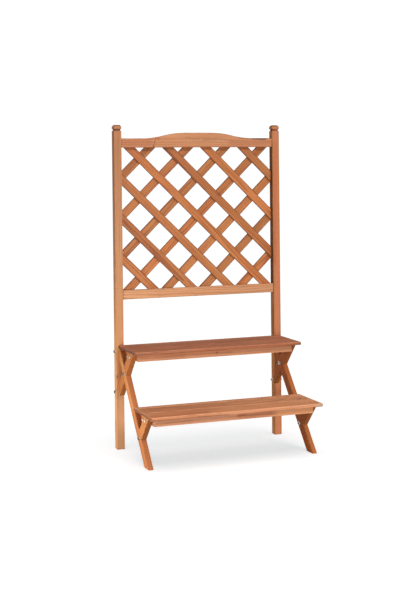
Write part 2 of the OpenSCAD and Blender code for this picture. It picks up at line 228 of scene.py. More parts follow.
# Each lamp: name, watts and width, then its turn, rise and distance
overhead = wide_sun("overhead", OVERHEAD_WATTS, 50)
place_lamp(overhead, 0, OVERHEAD_RISE, SUN_DISTANCE, lights_floor=True)
place_lamp(wide_sun("key", 1.95, 14), 12, 33, SUN_DISTANCE)
place_lamp(soft_disc("low front", 38, 0.8), -9, -6, 2.8, UNDER_THE_SHELVES)
place_lamp(wide_sun("rear right", 1.2, 30), 112, 25, SUN_DISTANCE)
place_lamp(wide_sun("rear left", 0.9, 30), 205, 24, SUN_DISTANCE)
place_lamp(soft_disc("low left", 8.6, 0.4, GREENISH), -88, -2, 0.86, LEFT_FRAME)


def white_world(strength, backdrop):
    """Lights the stand with strength, but shows the camera a clean backdrop."""
    world = bpy.data.worlds.new("white")
    world.use_nodes = True
    light = world.node_tree.nodes["Background"]
    light.inputs["Color"].default_value = (1, 1, 1, 1)
    for_the_camera(world.node_tree, light.inputs["Strength"], backdrop, strength)
    STUDIO.world = world


white_world(DOME, FLOOR_WHITE)

# %% [markdown]
# ## Wood grain as a solid
# Grain isn't a picture on the surface: a board is cut out of a log, so its faces show the
# same rings from different sides. The node group below rebuilds the log. Distance from the
# pith, bent by noise, is counted in rings; each ring runs from pale early wood to dark late
# wood. A long noise adds the fibres, a wide one the uneven stain, and a few cells of a
# Voronoi pattern become knots, round which the rings bulge. A photograph of a board would be
# quicker to use, but it would break at every edge and repeat from piece to piece. The group
# only puts out colours and values, and every material places it with its own numbers.
#
# Node trees are long to write, so a small class comes first: each of its calls adds a node,
# feeds it and returns its output.

# %% Node helpers
class Wiring:
    """Short calls that add nodes to one tree and return their output sockets."""

    def __init__(self, tree):
        self.tree = tree

    def node(self, kind, **settings):
        made = self.tree.nodes.new("ShaderNode" + kind)
        for key, value in settings.items():
            setattr(made, key, value)
        return made

    def feed(self, socket, value):
        if isinstance(value, bpy.types.NodeSocket):
            self.tree.links.new(value, socket)
        elif value is not None:
            socket.default_value = value

    def math(self, operation, a, b=None, c=None, clamp=False):
        made = self.node("Math", operation=operation, use_clamp=clamp)
        for socket, value in zip(made.inputs, (a, b, c)):
            self.feed(socket, value)
        return made.outputs[0]

    def vector(self, operation, a, b=None, scale=None):
        made = self.node("VectorMath", operation=operation)
        self.feed(made.inputs[0], a)
        if b is not None:
            self.feed(made.inputs[1], b)
        if scale is not None:
            self.feed(made.inputs["Scale"], scale)
        gives_a_number = operation in ("LENGTH", "DOT_PRODUCT")
        return made.outputs["Value" if gives_a_number else "Vector"]

    def noise(self, vector, scale=1.0, detail=2.0, roughness=0.5):
        made = self.node("TexNoise")
        self.feed(made.inputs["Vector"], vector)
        self.feed(made.inputs["Scale"], scale)
        self.feed(made.inputs["Detail"], detail)
        self.feed(made.inputs["Roughness"], roughness)
        return made.outputs["Fac"]

    def streaks(self, place, stretch, detail=3, roughness=0.5):
        """Noise with its own number of cells in a metre along each axis."""
        return self.noise(self.vector("MULTIPLY", place, stretch), 1.0, detail, roughness)

    def centred(self, value, width):
        """Spreads a value of 0 to 1 over a width, half of it below zero."""
        return self.math("MULTIPLY_ADD", value, width, -width / 2)

    def span(self, value, low, high, to_low=0.0, to_high=1.0):
        """A smooth step from to_low to to_high, as the value goes from low to high."""
        made = self.node("MapRange", interpolation_type="SMOOTHSTEP")
        self.feed(made.inputs["Value"], value)
        labels = ("From Min", "From Max", "To Min", "To Max")
        for label, number in zip(labels, (low, high, to_low, to_high)):
            self.feed(made.inputs[label], number)
        return made.outputs["Result"]

    def mix(self, factor, a, b, blend="MIX"):
        made = self.node("Mix", data_type="RGBA", blend_type=blend)
        self.feed(made.inputs[0], factor)
        self.feed(made.inputs[6], a)
        self.feed(made.inputs[7], b)
        return made.outputs[2]

    def group(self, tree, **values):
        """Places a node group; an underscore in a name stands for a space."""
        made = self.node("Group", node_tree=tree)
        for label, value in values.items():
            self.feed(made.inputs[label.replace("_", " ")], value)
        return made.outputs

    def bump(self, shader, height, strength, distance):
        made = self.node("Bump")
        made.inputs["Strength"].default_value = strength
        made.inputs["Distance"].default_value = distance
        self.feed(made.inputs["Height"], height)
        self.feed(shader.inputs["Normal"], made.outputs[0])

    def close_group(self, **values):
        """Feeds the outputs of the group being made, and returns its tree."""
        out = self.tree.nodes.new("NodeGroupOutput").inputs
        for label, value in values.items():
            self.feed(out[label], value)
        return self.tree


def open_group(name, inputs, outputs):
    """Starts a node group: gives its wiring and its inputs, listed as (name, kind, default)."""
    tree = bpy.data.node_groups.new(name, "ShaderNodeTree")
    for label, kind, value in inputs:
        kind = "NodeSocket" + kind
        socket = tree.interface.new_socket(name=label, in_out="INPUT", socket_type=kind)
        if value is not None:
            socket.default_value = value
    for label, kind in outputs:
        kind = "NodeSocket" + kind
        tree.interface.new_socket(name=label, in_out="OUTPUT", socket_type=kind)
    return Wiring(tree), tree.nodes.new("NodeGroupInput").outputs


def new_finish(name):
    """An empty material, with its wiring and its shader."""
    material = bpy.data.materials.new(name)
    material.use_nodes = True
    return material, Wiring(material.node_tree), material.node_tree.nodes["Principled BSDF"]


print("calls for nodes:", [name for name in vars(Wiring) if not name.startswith("_")])

# %% Sizes in the grain
# Cells that may hold a knot, in a metre along and across the log
KNOTS_ALONG = 5.5
KNOTS_ACROSS = 17.0
KNOT_STRETCH = 0.62
SMALLEST_KNOT = 0.0022
KNOT_SPREAD = 0.004
KNOT_RING = 0.0012
RED_STAIN = (1.0, 0.76, 0.62, 1)
# A step to another part of the noise, for the second bend
OTHER_BEND = (7.3, 2.1, 5.7)
# How many cells each noise has in a metre along, across and into the log
BEND = (1.4, 8.0, 8.0)
FRAYING = (9.0, 300.0, 300.0)
FIBRES = (2.6, 380.0, 380.0)
FINE_FIBRES = (10.0, 1300.0, 1300.0)
PATCHES = (3.0, 22.0, 22.0)
MOTTLING = (16.0, 70.0, 70.0)
BROAD_STAIN = (1.9, 15.0, 15.0)
# How far, in metres, the rings are bent, frayed and pushed out by a knot
BEND_WIDTH = 0.024
FRAY_WIDTH = 0.0009
KNOT_PUSH = 0.010
print("rings bend by up to", round(BEND_WIDTH / 2 / MM, 1), "mm")

# %% The wood grain group
def wood_grain_group():
    """Rings, fibres, stain and knots of a log whose pith lies along X."""
    w, given = open_group(
        "wood grain",
        [
            ("Vector", "Vector", None),
            ("Ring Width", "Float", 0.004),
            ("Pale Wood", "Color", (0.5, 0.25, 0.12, 1)),
            ("Dark Wood", "Color", (0.25, 0.08, 0.03, 1)),
            ("Knot Color", "Color", (0.06, 0.02, 0.01, 1)),
            ("Contrast", "Float", 0.5),
            ("Stain Patches", "Float", 0.4),
            ("Reddening", "Float", 0.5),
            ("Knots", "Float", 0.1),
        ],
        [("Color", "Color"), ("Ring", "Float"), ("Fibre", "Float"), ("Knot", "Float")],
    )
    place = given["Vector"]
    parts = w.node("SeparateXYZ")
    w.feed(parts.inputs[0], place)
    along, across, depth = parts.outputs

    # Knots: cells on the wide face, most of them left empty; each bulges the rings round it
    cell = w.node("CombineXYZ")
    w.feed(cell.inputs[0], w.math("MULTIPLY", along, KNOTS_ALONG))
    w.feed(cell.inputs[1], w.math("MULTIPLY", across, KNOTS_ACROSS))
    cells = w.node("TexVoronoi", voronoi_dimensions="2D", feature="F1")
    w.feed(cells.inputs["Vector"], cell.outputs[0])
    w.feed(cells.inputs["Scale"], 1.0)
    offset = w.vector("SUBTRACT", cell.outputs[0], cells.outputs["Position"])
    offset = w.vector("MULTIPLY", offset, (KNOT_STRETCH / KNOTS_ALONG, 1 / KNOTS_ACROSS, 0))
    ragged = w.centred(w.noise(place, 260, 2), 0.003)
    from_knot = w.math("ADD", w.vector("LENGTH", offset), ragged)
    dice = w.node("SeparateColor")
    w.feed(dice.inputs[0], cells.outputs["Color"])
    chosen = w.math("LESS_THAN", dice.outputs[0], given["Knots"])
    size = w.math("MULTIPLY_ADD", dice.outputs[1], KNOT_SPREAD, SMALLEST_KNOT)
    knot = w.span(from_knot, w.math("MULTIPLY", size, 1.15), w.math("MULTIPLY", size, 0.6))
    knot = w.math("MULTIPLY", knot, chosen)
    swell = w.math("DIVIDE", from_knot, w.math("MULTIPLY", size, 2.6))
    swell = w.math("POWER", math.e, w.math("MULTIPLY", w.math("MULTIPLY", swell, swell), -1.0))
    swell = w.math("MULTIPLY", swell, chosen)

    # Rings round the pith, bent by a slow noise and frayed by a quick one
    slow = w.vector("MULTIPLY", place, BEND)
    bend = w.node("CombineXYZ")
    w.feed(bend.inputs[1], w.centred(w.noise(slow, 1.0, 3), BEND_WIDTH))
    shifted = w.vector("ADD", slow, OTHER_BEND)
    w.feed(bend.inputs[2], w.centred(w.noise(shifted, 1.0, 3), BEND_WIDTH))
    section = w.vector("MULTIPLY", w.vector("ADD", place, bend.outputs[0]), (0, 1, 1))
    radius = w.math("MULTIPLY_ADD", swell, KNOT_PUSH, w.vector("LENGTH", section))
    radius = w.math("MULTIPLY_ADD", w.streaks(place, FRAYING, 2), FRAY_WIDTH, radius)
    count = w.math("DIVIDE", radius, given["Ring Width"])
    phase = w.math("FRACT", count)
    year = w.node("TexWhiteNoise", noise_dimensions="1D")
    w.feed(year.inputs["W"], w.math("FLOOR", count))
    late = w.math("MULTIPLY", w.span(phase, 0.25, 0.86), w.span(phase, 1.0, 0.9))
    late = w.math("MULTIPLY", late, w.math("MULTIPLY_ADD", year.outputs["Value"], 0.75, 0.25))

    # Fibres, uneven stain and the mix of them all
    fibre = w.streaks(place, FIBRES, 3, 0.55)
    fine = w.streaks(place, FINE_FIBRES, 3, 0.6)
    patch = w.streaks(place, PATCHES, 4, 0.6)
    mottle = w.streaks(place, MOTTLING, 4, 0.6)
    tone = w.math("MULTIPLY", late, given["Contrast"])
    for noise, share, strength in (
        (fibre, 1.1, "Contrast"), (fine, 0.7, "Contrast"),
        (patch, 1.0, "Stain Patches"), (mottle, 0.6, "Stain Patches"),
    ):
        shift = w.math("MULTIPLY", w.math("SUBTRACT", noise, 0.5), share)
        tone = w.math("MULTIPLY_ADD", shift, given[strength], tone)
    tone = w.math("MULTIPLY_ADD", swell, 0.35, w.math("ADD", tone, 0.1), clamp=True)
    color = w.mix(tone, given["Pale Wood"], given["Dark Wood"])
    broad = w.streaks(place, BROAD_STAIN, 3, 0.55)
    reddened = w.math("MULTIPLY", w.span(broad, 0.42, 0.66), given["Reddening"])
    color = w.mix(reddened, color, RED_STAIN, "MULTIPLY")
    knot_rings = w.math("FRACT", w.math("DIVIDE", from_knot, KNOT_RING))
    paler = w.span(knot_rings, 0.2, 0.8, 0.0, 0.35)
    color = w.mix(knot, color, w.mix(paler, given["Knot Color"], given["Dark Wood"]))
    return w.close_group(Color=color, Ring=late, Fibre=fibre, Knot=knot)


WOOD_GRAIN = wood_grain_group()
print("wood grain nodes", len(WOOD_GRAIN.nodes))

# %% [markdown]
# ## Wear, weather and end grain
# Stained garden wood changes along its eased edges, where hands and pots rub it, and turns
# grey where water stands. Cut ends drink more stain and stay darker. The eased faces and the
# cut ends are marked on each mesh when they are made, in attributes named arris and end. The
# renderer could find the edges by itself, but only while it renders: marks on the mesh cost
# nothing to work out and stay with the piece.

# %% The edge wear group
END_STAIN = (0.38, 0.27, 0.22, 1)
# Cells of each noise in a metre along, across and into the log
CHIPS = (30.0, 240.0, 240.0)
CLOUDS = (7.0, 40.0, 40.0)


def edge_wear_group():
    """Wear on the eased edges, grey clouds and soaked ends, over a colour."""
    w, given = open_group(
        "edge wear",
        [
            ("Color", "Color", None),
            ("Vector", "Vector", None),
            ("Worn Color", "Color", (0.6, 0.35, 0.2, 1)),
            ("Wear", "Float", 0.5),
            ("Grey Color", "Color", (0.2, 0.15, 0.1, 1)),
            ("Weathering", "Float", 0.2),
        ],
        [("Color", "Color"), ("Grey", "Float"), ("End", "Float")],
    )
    arris = w.node("Attribute", attribute_name="arris").outputs["Fac"]
    chips = w.streaks(given["Vector"], CHIPS, 4, 0.65)
    worn = w.math("MULTIPLY", arris, w.span(chips, 0.38, 0.60))
    worn = w.math("MULTIPLY", worn, given["Wear"], clamp=True)
    color = w.mix(worn, given["Color"], given["Worn Color"])
    clouds = w.streaks(given["Vector"], CLOUDS, 5, 0.6)
    grey = w.math("MULTIPLY", w.span(clouds, 0.5, 0.72), given["Weathering"], clamp=True)
    color = w.mix(grey, color, given["Grey Color"])
    end = w.node("Attribute", attribute_name="end").outputs["Fac"]
    darkened = w.math("MULTIPLY", end, w.span(w.noise(given["Vector"], 150, 3), 0.2, 0.7, 0.6, 1.0))
    color = w.mix(darkened, color, END_STAIN, "MULTIPLY")
    return w.close_group(Color=color, Grey=grey, End=end)


EDGE_WEAR = edge_wear_group()
print("edge wear nodes", len(EDGE_WEAR.nodes))

# %% [markdown]
# ## Strokes
# Some marks sit at one place: a pitch streak, a check across a rail, a patch where the stain
# took redder. Other strokes are painted shade and painted light: darker where a face lies in
# shade, paler where more light falls on it. They could be painted on an image by hand. A
# stroke is a soft line between two points instead, with a ragged edge: it stays sharp at any
# size and moves with a number, and the same group serves a check 2 mm wide and a patch 40 mm
# wide. The points are written in mm on the face that they mark.

# %% The stroke group
def stroke_group():
    """A mask that is full on the line between two points and fades out at its width."""
    w, given = open_group(
        "stroke",
        [
            ("Vector", "Vector", None),
            ("From", "Vector", None),
            ("To", "Vector", None),
            ("Width", "Float", 0.002),
            ("Strength", "Float", 0.5),
        ],
        [("Mask", "Float")],
    )
    line = w.vector("SUBTRACT", given["To"], given["From"])
    reach = w.vector("SUBTRACT", given["Vector"], given["From"])
    reach_along = w.vector("DOT_PRODUCT", reach, line)
    length_squared = w.vector("DOT_PRODUCT", line, line)
    share = w.math("DIVIDE", reach_along, length_squared, clamp=True)
    nearest = w.vector("SCALE", line, scale=share)
    away = w.vector("LENGTH", w.vector("SUBTRACT", reach, nearest))
    ragged = w.math("MULTIPLY_ADD", w.noise(given["Vector"], 240, 4, 0.7), 2.2, -0.1)
    away_in_widths = w.math("DIVIDE", away, given["Width"])
    close = w.span(w.math("MULTIPLY", away_in_widths, ragged), 1.0, 0.0)
    return w.close_group(Mask=w.math("MULTIPLY", close, given["Strength"]))


STROKE = stroke_group()
print("stroke nodes", len(STROKE.nodes))

# %% Colours of stains, painted shade and painted light
def linear(channel):
    """One channel of a screen colour, 0 to 255, as the linear value that nodes use."""
    share = channel / 255
    return share / 12.92 if share <= 0.04045 else ((share + 0.055) / 1.055) ** 2.4


def srgb(red, green, blue):
    """A screen colour as the four values of a colour socket."""
    return (linear(red), linear(green), linear(blue), 1)


DEEP_SHADE = srgb(58, 25, 14)
PITCH = srgb(84, 38, 18)
RUSSET = srgb(150, 76, 42)
BRICK_SHADE = srgb(134, 56, 24)
DULL = srgb(130, 88, 60)
HONEY_LIGHT = srgb(222, 158, 106)
PALE_PINK = srgb(206, 146, 116)
ROSY = srgb(204, 112, 94)
SILVER = srgb(160, 146, 130)
print("pitch, linear", [round(channel, 3) for channel in PITCH])

# %% Where the strokes go
# Strokes by piece: face, from, to (mm, in the two axes of that face), width, strength, colour
STROKES = {
    "top_rail": [
        ("front", (-292, 1090), (-188, 1092), 24, 0.40, RUSSET),
        ("front", (130, 1092), (292, 1090), 22, 0.40, RUSSET),
        ("front", (-161, 1114), (-174, 1075), 1.8, 0.90, PITCH),
        ("front", (-171, 1079), (-176, 1074), 3.4, 0.80, PITCH),
        ("front", (-152, 1104), (-157, 1110), 8, 0.55, RUSSET),
        ("front", (-70, 1098), (24, 1097), 2.0, 0.35, DULL),
        ("front", (-50, 1110), (-30, 1109), 2.6, 0.55, DULL),
        ("front", (-28, 1104), (2, 1104), 2.6, 0.65, DULL),
        ("front", (22, 1101), (68, 1102), 6, 0.40, DULL),
        ("front", (214, 1105), (268, 1104), 4.6, 0.95, PITCH),
        ("front", (232, 1105), (256, 1104), 5.0, 0.95, PITCH),
        # Painted shade along the lower edge of the rail
        ("front", (-292, 1075), (292, 1075), 2.4, 0.55, RUSSET),
    ],
    "post_left": [
        # Painted light: a paler foot on the front, where more light falls low down
        ("front", (-306, 0), (-306, 165), 34, 0.30, PALE_PINK),
        # Painted shade on the upper part of the left face
        ("left", (181, 600), (181, 1130), 14, 0.40, RUSSET),
        ("front", (-316, 257), (-316, 265), 5, 0.75, PITCH),
        # Painted shade on the front beside the frame, under the upper shelf
        ("front", (-312, 215), (-310, 345), 12, 0.35, RUSSET),
    ],
    "post_right": [
        ("front", (306, 10), (306, 1140), 12, 0.40, ROSY),
        # Painted shade of the upper shelf on the front
        ("front", (306, 240), (304, 350), 14, 0.40, RUSSET),
        ("front", (300, 640), (306, 1090), 9, 0.30, RUSSET),
        # Painted shade: the left face, which faces the lattice, is nearly black
        ("left", (177, 560), (177, 1085), 9, 0.92, DEEP_SHADE),
        ("left", (187, 560), (187, 1085), 10, 0.92, DEEP_SHADE),
    ],
    "leg_left": [
        # Darker towards the foot of the outer face
        ("left", (-131, 0), (-20, 130), 22, 0.35, RUSSET),
        # Painted light on the outer face higher up, where the light from the left falls
        ("left", (20, 175), (185, 361), 20, 0.18, HONEY_LIGHT),
    ],
    # Painted shade on the inner faces of the right leg and its brackets
    "leg_right": [
        ("left", (-131, 0), (185, 361), 30, 0.65, BRICK_SHADE),
    ],
    "upper_bracket_right": [
        ("left", (35, 361), (184, 204), 30, 0.60, BRICK_SHADE),
    ],
    "lower_bracket_right": [
        ("left", (-133, 171), (0, 31), 30, 0.60, BRICK_SHADE),
    ],
    "upper_board_middle": [
        ("top", (-130, 129), (-66, 126), 3.0, 0.55, DULL),
        ("top", (-4, 90), (56, 84), 4.5, 0.65, PITCH),
        ("top", (60, 108), (300, 100), 5, 0.35, DULL),
        ("top", (-312, 138), (310, 138), 3.6, 0.60, PITCH),
        ("top", (-312, 67), (310, 67), 3.0, 0.50, RUSSET),
    ],
    "upper_board_front": [
        ("top", (-92, 50), (-34, 54), 3.0, 0.60, PITCH),
        ("top", (-240, 20), (-60, 16), 4.0, 0.45, DULL),
        ("top", (-312, 57), (310, 57), 3.6, 0.60, PITCH),
        ("front", (-312, 362), (20, 362), 3.0, 0.50, PITCH),
        ("top", (255, 34), (300, 24), 12, 0.40, DULL),
        ("front", (285, 366), (310, 366), 8, 0.50, DULL),
    ],
    "upper_apron": [
        ("front", (0, 347), (3, 349), 4.0, 0.85, PITCH),
        ("front", (2, 352), (5, 358), 1.6, 0.60, PITCH),
        ("front", (-120, 350), (60, 347), 6, 0.30, RUSSET),
        ("front", (-290, 347), (-130, 347), 26, 0.35, RUSSET),
    ],
    "lower_board_front": [
        # Painted light along the front edge, where more light falls low down
        ("front", (-60, 177), (296, 177), 5, 0.40, PALE_PINK),
        ("front", (292, 177), (314, 177), 9, 0.60, SILVER),
        ("top", (296, -192), (314, -192), 7, 0.60, SILVER),
        ("top", (60, -186), (240, -178), 2.4, 0.35, RUSSET),
        ("top", (-300, -176), (-110, -168), 32, 0.45, RUSSET),
        ("top", (-312, -116), (310, -116), 3.6, 0.60, PITCH),
        ("front", (-312, 172), (-40, 172), 4, 0.60, PITCH),
    ],
    "lower_board_middle": [
        ("top", (150, -90), (235, -94), 2.6, 0.50, RUSSET),
        ("top", (-300, -50), (-120, -56), 9, 0.45, RUSSET),
        ("top", (-312, -35), (310, -35), 3.6, 0.60, PITCH),
        ("top", (-312, -106), (310, -106), 3.0, 0.50, RUSSET),
    ],
    "lower_apron": [
        ("front", (-150, 158), (-4, 158), 16, 0.45, PALE_PINK),
        ("front", (13, 158), (30, 159), 11, 0.65, RUSSET),
        ("front", (12, 167), (64, 169), 3.2, 0.70, PITCH),
        ("front", (40, 156), (130, 157), 14, 0.35, RUSSET),
        # Painted light on the right end of the apron
        ("front", (165, 157), (290, 156), 20, 0.80, HONEY_LIGHT),
    ],
}
FACES = {"left": (0, 0), "front": (1, 0), "top": (2, 1)}


def on_face(node, face, point):
    """A point of a face, given in mm in the two axes of the face, in metres."""
    axis, side = FACES[face]
    place = [value * MM for value in point]
    place.insert(axis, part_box(node)[side][axis])
    return place


print(sum(len(strokes) for strokes in STROKES.values()), "strokes on", len(STROKES), "pieces")

# %% [markdown]
# ## The stained pine
# One material on every piece would be quicker, but then the same rings would run on from
# piece to piece. So one function makes a finish for each. The Mapping node lays the log along
# the piece and slides it to a place of its own, picked by the piece's number. Then come the
# wear, the strokes, and a roughness and a bump that follow the same rings and fibres.

# %% Tones
# Each tone: its colours, the slot it goes by, the ring width in mm, and strengths from 0 to 1
TONES = {
    "post": dict(
        pale=srgb(181, 126, 84), dark=srgb(128, 71, 39), worn=srgb(120, 66, 38), slot="light_stain",
        ring=3.2, contrast=0.50, patches=0.45, red=0.35, knots=0.08, wear=0.45, grey=0.08, spread=0.00,
    ),
    "leg": dict(
        pale=srgb(167, 100, 50), dark=srgb(113, 52, 18), worn=srgb(206, 140, 92), slot="light_stain",
        ring=3.4, contrast=0.55, patches=0.40, red=0.55, knots=0.08, wear=0.30, grey=0.06, spread=0.04,
    ),
    "rail": dict(
        pale=srgb(193, 138, 97), dark=srgb(134, 78, 45), worn=srgb(112, 70, 46), slot="stained",
        ring=4.5, contrast=0.55, patches=0.50, red=0.45, knots=0.02, wear=0.75, grey=0.10, spread=0.00,
    ),
    "slat": dict(
        pale=srgb(181, 114, 61), dark=srgb(119, 58, 25), worn=srgb(84, 40, 22), slot="stained",
        ring=3.4, contrast=0.65, patches=0.90, red=0.50, knots=0.14, wear=0.60, grey=0.05, spread=0.10,
    ),
    "upper board": dict(
        pale=srgb(157, 93, 58), dark=srgb(101, 46, 25), worn=srgb(190, 124, 88), slot="stained",
        ring=3.0, contrast=0.70, patches=0.55, red=0.50, knots=0.14, wear=0.50, grey=0.30, spread=0.06,
    ),
    "lower board": dict(
        pale=srgb(189, 127, 84), dark=srgb(130, 71, 39), worn=srgb(214, 160, 122), slot="stained",
        ring=3.0, contrast=0.65, patches=0.50, red=0.45, knots=0.12, wear=0.60, grey=0.22, spread=0.06,
    ),
    "apron": dict(
        pale=srgb(209, 149, 108), dark=srgb(152, 90, 57), worn=srgb(216, 156, 116), slot="light_stain",
        ring=3.4, contrast=0.50, patches=0.45, red=0.45, knots=0.10, wear=0.30, grey=0.06, spread=0.00,
    ),
    "cleat": dict(
        pale=srgb(168, 104, 70), dark=srgb(108, 54, 32), worn=srgb(180, 116, 80), slot="stained",
        ring=3.0, contrast=0.60, patches=0.50, red=0.60, knots=0.10, wear=0.30, grey=0.10, spread=0.05,
    ),
}
GREYED = srgb(124, 98, 78)
KNOT = srgb(66, 30, 15)
# Turns that lay the log along a piece
ALONG_X = (0, 0, 0)
ALONG_X_UPRIGHT = (-math.pi / 2, 0, 0)
ALONG_Y_UPRIGHT = (-math.pi / 2, 0, -math.pi / 2)
ALONG_Z = (0, math.pi / 2, 0)

# How far the bare wood mirrors the room. The pieces on the right drank more stain and stayed
# dry, which shows where a face is seen edge on.
GLOSS = 0.35
DRY_GLOSS = {
    "post_right": 0.03,
    "leg_right": 0.10,
    "upper_bracket_right": 0.10,
    "lower_bracket_right": 0.10,
}


def slide_for(number):
    """A different place in the log for each piece, always the same for the same number."""
    return Vector((
        1.3 * number + 0.37 * math.sin(5.1 * number),
        0.020 * math.sin(3.7 * number + 1.0),
        0.030 + 0.012 * math.cos(2.3 * number),
    ))


print("tones", sorted(TONES))

# %% The finish of one piece
MEAN_ROUGHNESS = 0.44
GRAIN_RELIEF = 0.0004


def shaded(color, share):
    """The colour with its light multiplied by share."""
    return [channel * share for channel in color[:3]] + [1]


def stained_pine(tone, key, turn, centre, number, strokes=(), gloss=GLOSS):
    """The finish: turn lays the log along the piece, number picks its place in the log."""
    look = TONES[tone]
    shade = 1 + look["spread"] * math.sin(2.4 * number)
    material, w, shader = new_finish("pine " + key)
    where = w.node("TexCoord").outputs["Object"]
    lay = w.node("Mapping", vector_type="POINT")
    w.feed(lay.inputs["Vector"], where)
    lay.inputs["Rotation"].default_value = turn
    turned_centre = Euler(turn).to_matrix() @ Vector(centre)
    lay.inputs["Location"].default_value = slide_for(number) - turned_centre

    grain = w.group(
        WOOD_GRAIN, Vector=lay.outputs[0], Ring_Width=look["ring"] * MM,
        Pale_Wood=shaded(look["pale"], shade), Dark_Wood=shaded(look["dark"], shade),
        Knot_Color=KNOT, Contrast=look["contrast"], Stain_Patches=look["patches"],
        Reddening=look["red"], Knots=look["knots"],
    )
    worn = w.group(
        EDGE_WEAR, Color=grain["Color"], Vector=lay.outputs[0], Worn_Color=look["worn"],
        Wear=look["wear"], Grey_Color=GREYED, Weathering=look["grey"],
    )
    color = worn["Color"]
    for start, end, width, strength, stain in strokes:
        mask = w.group(STROKE, Vector=where, From=start, To=end, Width=width * MM, Strength=strength)
        color = w.mix(mask["Mask"], color, stain)
    w.feed(shader.inputs["Base Color"], color)

    rough = w.math("MULTIPLY_ADD", grain["Fibre"], 0.22, MEAN_ROUGHNESS)
    for value, share in ((worn["Grey"], 0.20), (worn["End"], 0.15), (grain["Ring"], -0.06)):
        rough = w.math("MULTIPLY_ADD", value, share, rough)
    w.feed(shader.inputs["Roughness"], rough)
    shader.inputs["Specular IOR Level"].default_value = gloss
    height = w.math("MULTIPLY", grain["Fibre"], 0.65)
    for value, share in ((grain["Ring"], 0.35), (grain["Knot"], -0.4)):
        height = w.math("MULTIPLY_ADD", value, share, height)
    w.bump(shader, height, 0.35, GRAIN_RELIEF)
    return material


print("the first three places in the log", [slide_for(number)[:] for number in range(1, 4)])

# %% [markdown]
# ## Sticks and boards
# A planed stick is an outline pushed straight through. A stretched cube would do for a square
# bar, but an outline also serves the arch and the slanted legs. The helper draws it as one
# face, extrudes it, and then planes a small round on every sharp edge, which is what the
# light catches on the real one. The new edge faces are marked for the wear.

# %% Cutting and easing
VERT = bmesh.types.BMVert
EDGE = bmesh.types.BMEdge
FACE = bmesh.types.BMFace
# Cosines: a cut end faces along the grain, and a flat face keeps the way that it faced
END_GRAIN = 0.6
SAME_WAY = 0.9995
# Edges that turn by more than this get a round
SHARP_EDGE = math.radians(25)


def only(kind, geometry):
    """The vertices, edges or faces among what an operator returned."""
    return [part for part in geometry if isinstance(part, kind)]


def other_axes(axis):
    """The two axes square to one, in order."""
    return [i for i in range(3) if i != axis]


def from_outline(points, axis, start, end):
    """A bar whose outline lies square to axis, given in the other two axes in order."""
    bm = bmesh.new()
    first, second = other_axes(axis)
    corners = []
    for point in points:
        place = [0.0, 0.0, 0.0]
        place[axis] = start
        place[first], place[second] = point
        corners.append(bm.verts.new(place))
    face = bm.faces.new(corners)
    pushed = bmesh.ops.extrude_face_region(bm, geom=[face])["geom"]
    shift = Vector((0, 0, 0))
    shift[axis] = end - start
    bmesh.ops.translate(bm, vec=shift, verts=only(VERT, pushed))
    bmesh.ops.recalc_face_normals(bm, faces=bm.faces)
    return bm


def ease_edges(bm, width, segments=2):
    """Rounds the sharp edges and marks the faces of the rounds, which face no old way."""
    arris = bm.faces.layers.float.new("arris")
    sharp = [e for e in bm.edges if e.is_manifold and e.calc_face_angle(0) > SHARP_EDGE]
    bm.normal_update()
    flat = [face.normal.copy() for face in bm.faces]
    bmesh.ops.bevel(
        bm, geom=sharp, offset=width, offset_type="OFFSET", affect="EDGES",
        segments=segments, profile=0.5, material=-1, clamp_overlap=True,
    )
    bm.normal_update()
    for face in bm.faces:
        if max(face.normal.dot(normal) for normal in flat) < SAME_WAY:
            face[arris] = 1.0
    return bm


print("edges sharper than", round(math.degrees(SHARP_EDGE)), "degrees are rounded")

# %% From a mesh to a piece of the stand
def close_holes(bm):
    """Puts a face in every open loop of edges."""
    bmesh.ops.holes_fill(bm, edges=[e for e in bm.edges if e.is_boundary], sides=0)


def finish_piece(bm, name, material, stands_for):
    """Makes the mesh an object that rides on the stand in place of its plain solids."""
    open_edges = sum(not e.is_manifold for e in bm.edges)
    volume = bm.calc_volume(signed=True)
    if open_edges or volume < 0:
        raise ValueError(f"{name}: {open_edges} open edges, volume {volume}")
    mesh = to_mesh(bm, name)
    mesh.materials.append(material)
    piece = link(bpy.data.objects.new(name, mesh))
    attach(piece, "root")
    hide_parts(*stands_for)
    return piece


def wooden_piece(bm, name, tone, turn, number, node, more_strokes=()):
    """Marks the cut ends, makes the finish and puts the piece in place of its node."""
    low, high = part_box(node)
    grain_way = Euler(turn).to_matrix().transposed() @ Vector((1, 0, 0))
    bm.normal_update()
    end = bm.faces.layers.float.get("end") or bm.faces.layers.float.new("end")
    for face in bm.faces:
        if abs(face.normal.dot(grain_way)) > END_GRAIN:
            face[end] = 1.0
    strokes = [
        (on_face(node, side, start), on_face(node, side, stop), width, strength, stain)
        for side, start, stop, width, strength, stain in STROKES.get(node, [])
    ]
    strokes += more_strokes
    key = node.replace("_", " ")
    gloss = DRY_GLOSS.get(node, GLOSS)
    finish = stained_pine(tone, key, turn, (low + high) / 2, number, strokes, gloss)
    return finish_piece(bm, name, finish, [node])


def box_points(node, axis):
    """The outline of a node's box, seen along axis."""
    low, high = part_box(node)
    a, b = other_axes(axis)
    return [(low[a], low[b]), (high[a], low[b]), (high[a], high[b]), (low[a], high[b])]


print("slots of the wood", sorted({look["slot"] for look in TONES.values()}))

# %% [markdown]
# ## The posts
# Each post is a square bar with a groove near the top and a small chamfer round the head.
# A boolean could cut the groove, but it leaves faces that round badly. Seen from the side
# the post is a stack of squares, so the mesh grows level by level: one square at the foot,
# pushed up and drawn in or let out at each level.

# %% Posts
GROOVE_LOW = 1.134
GROOVE_HIGH = 1.140
GROOVE_DEPTH = 0.003
HEAD_CHAMFER = 0.005
POST_ROUND = 1.3 * MM
# The first post's number: the number of a piece picks its place in the log
POST_LOG = 4
SIDES = ("left", "right")


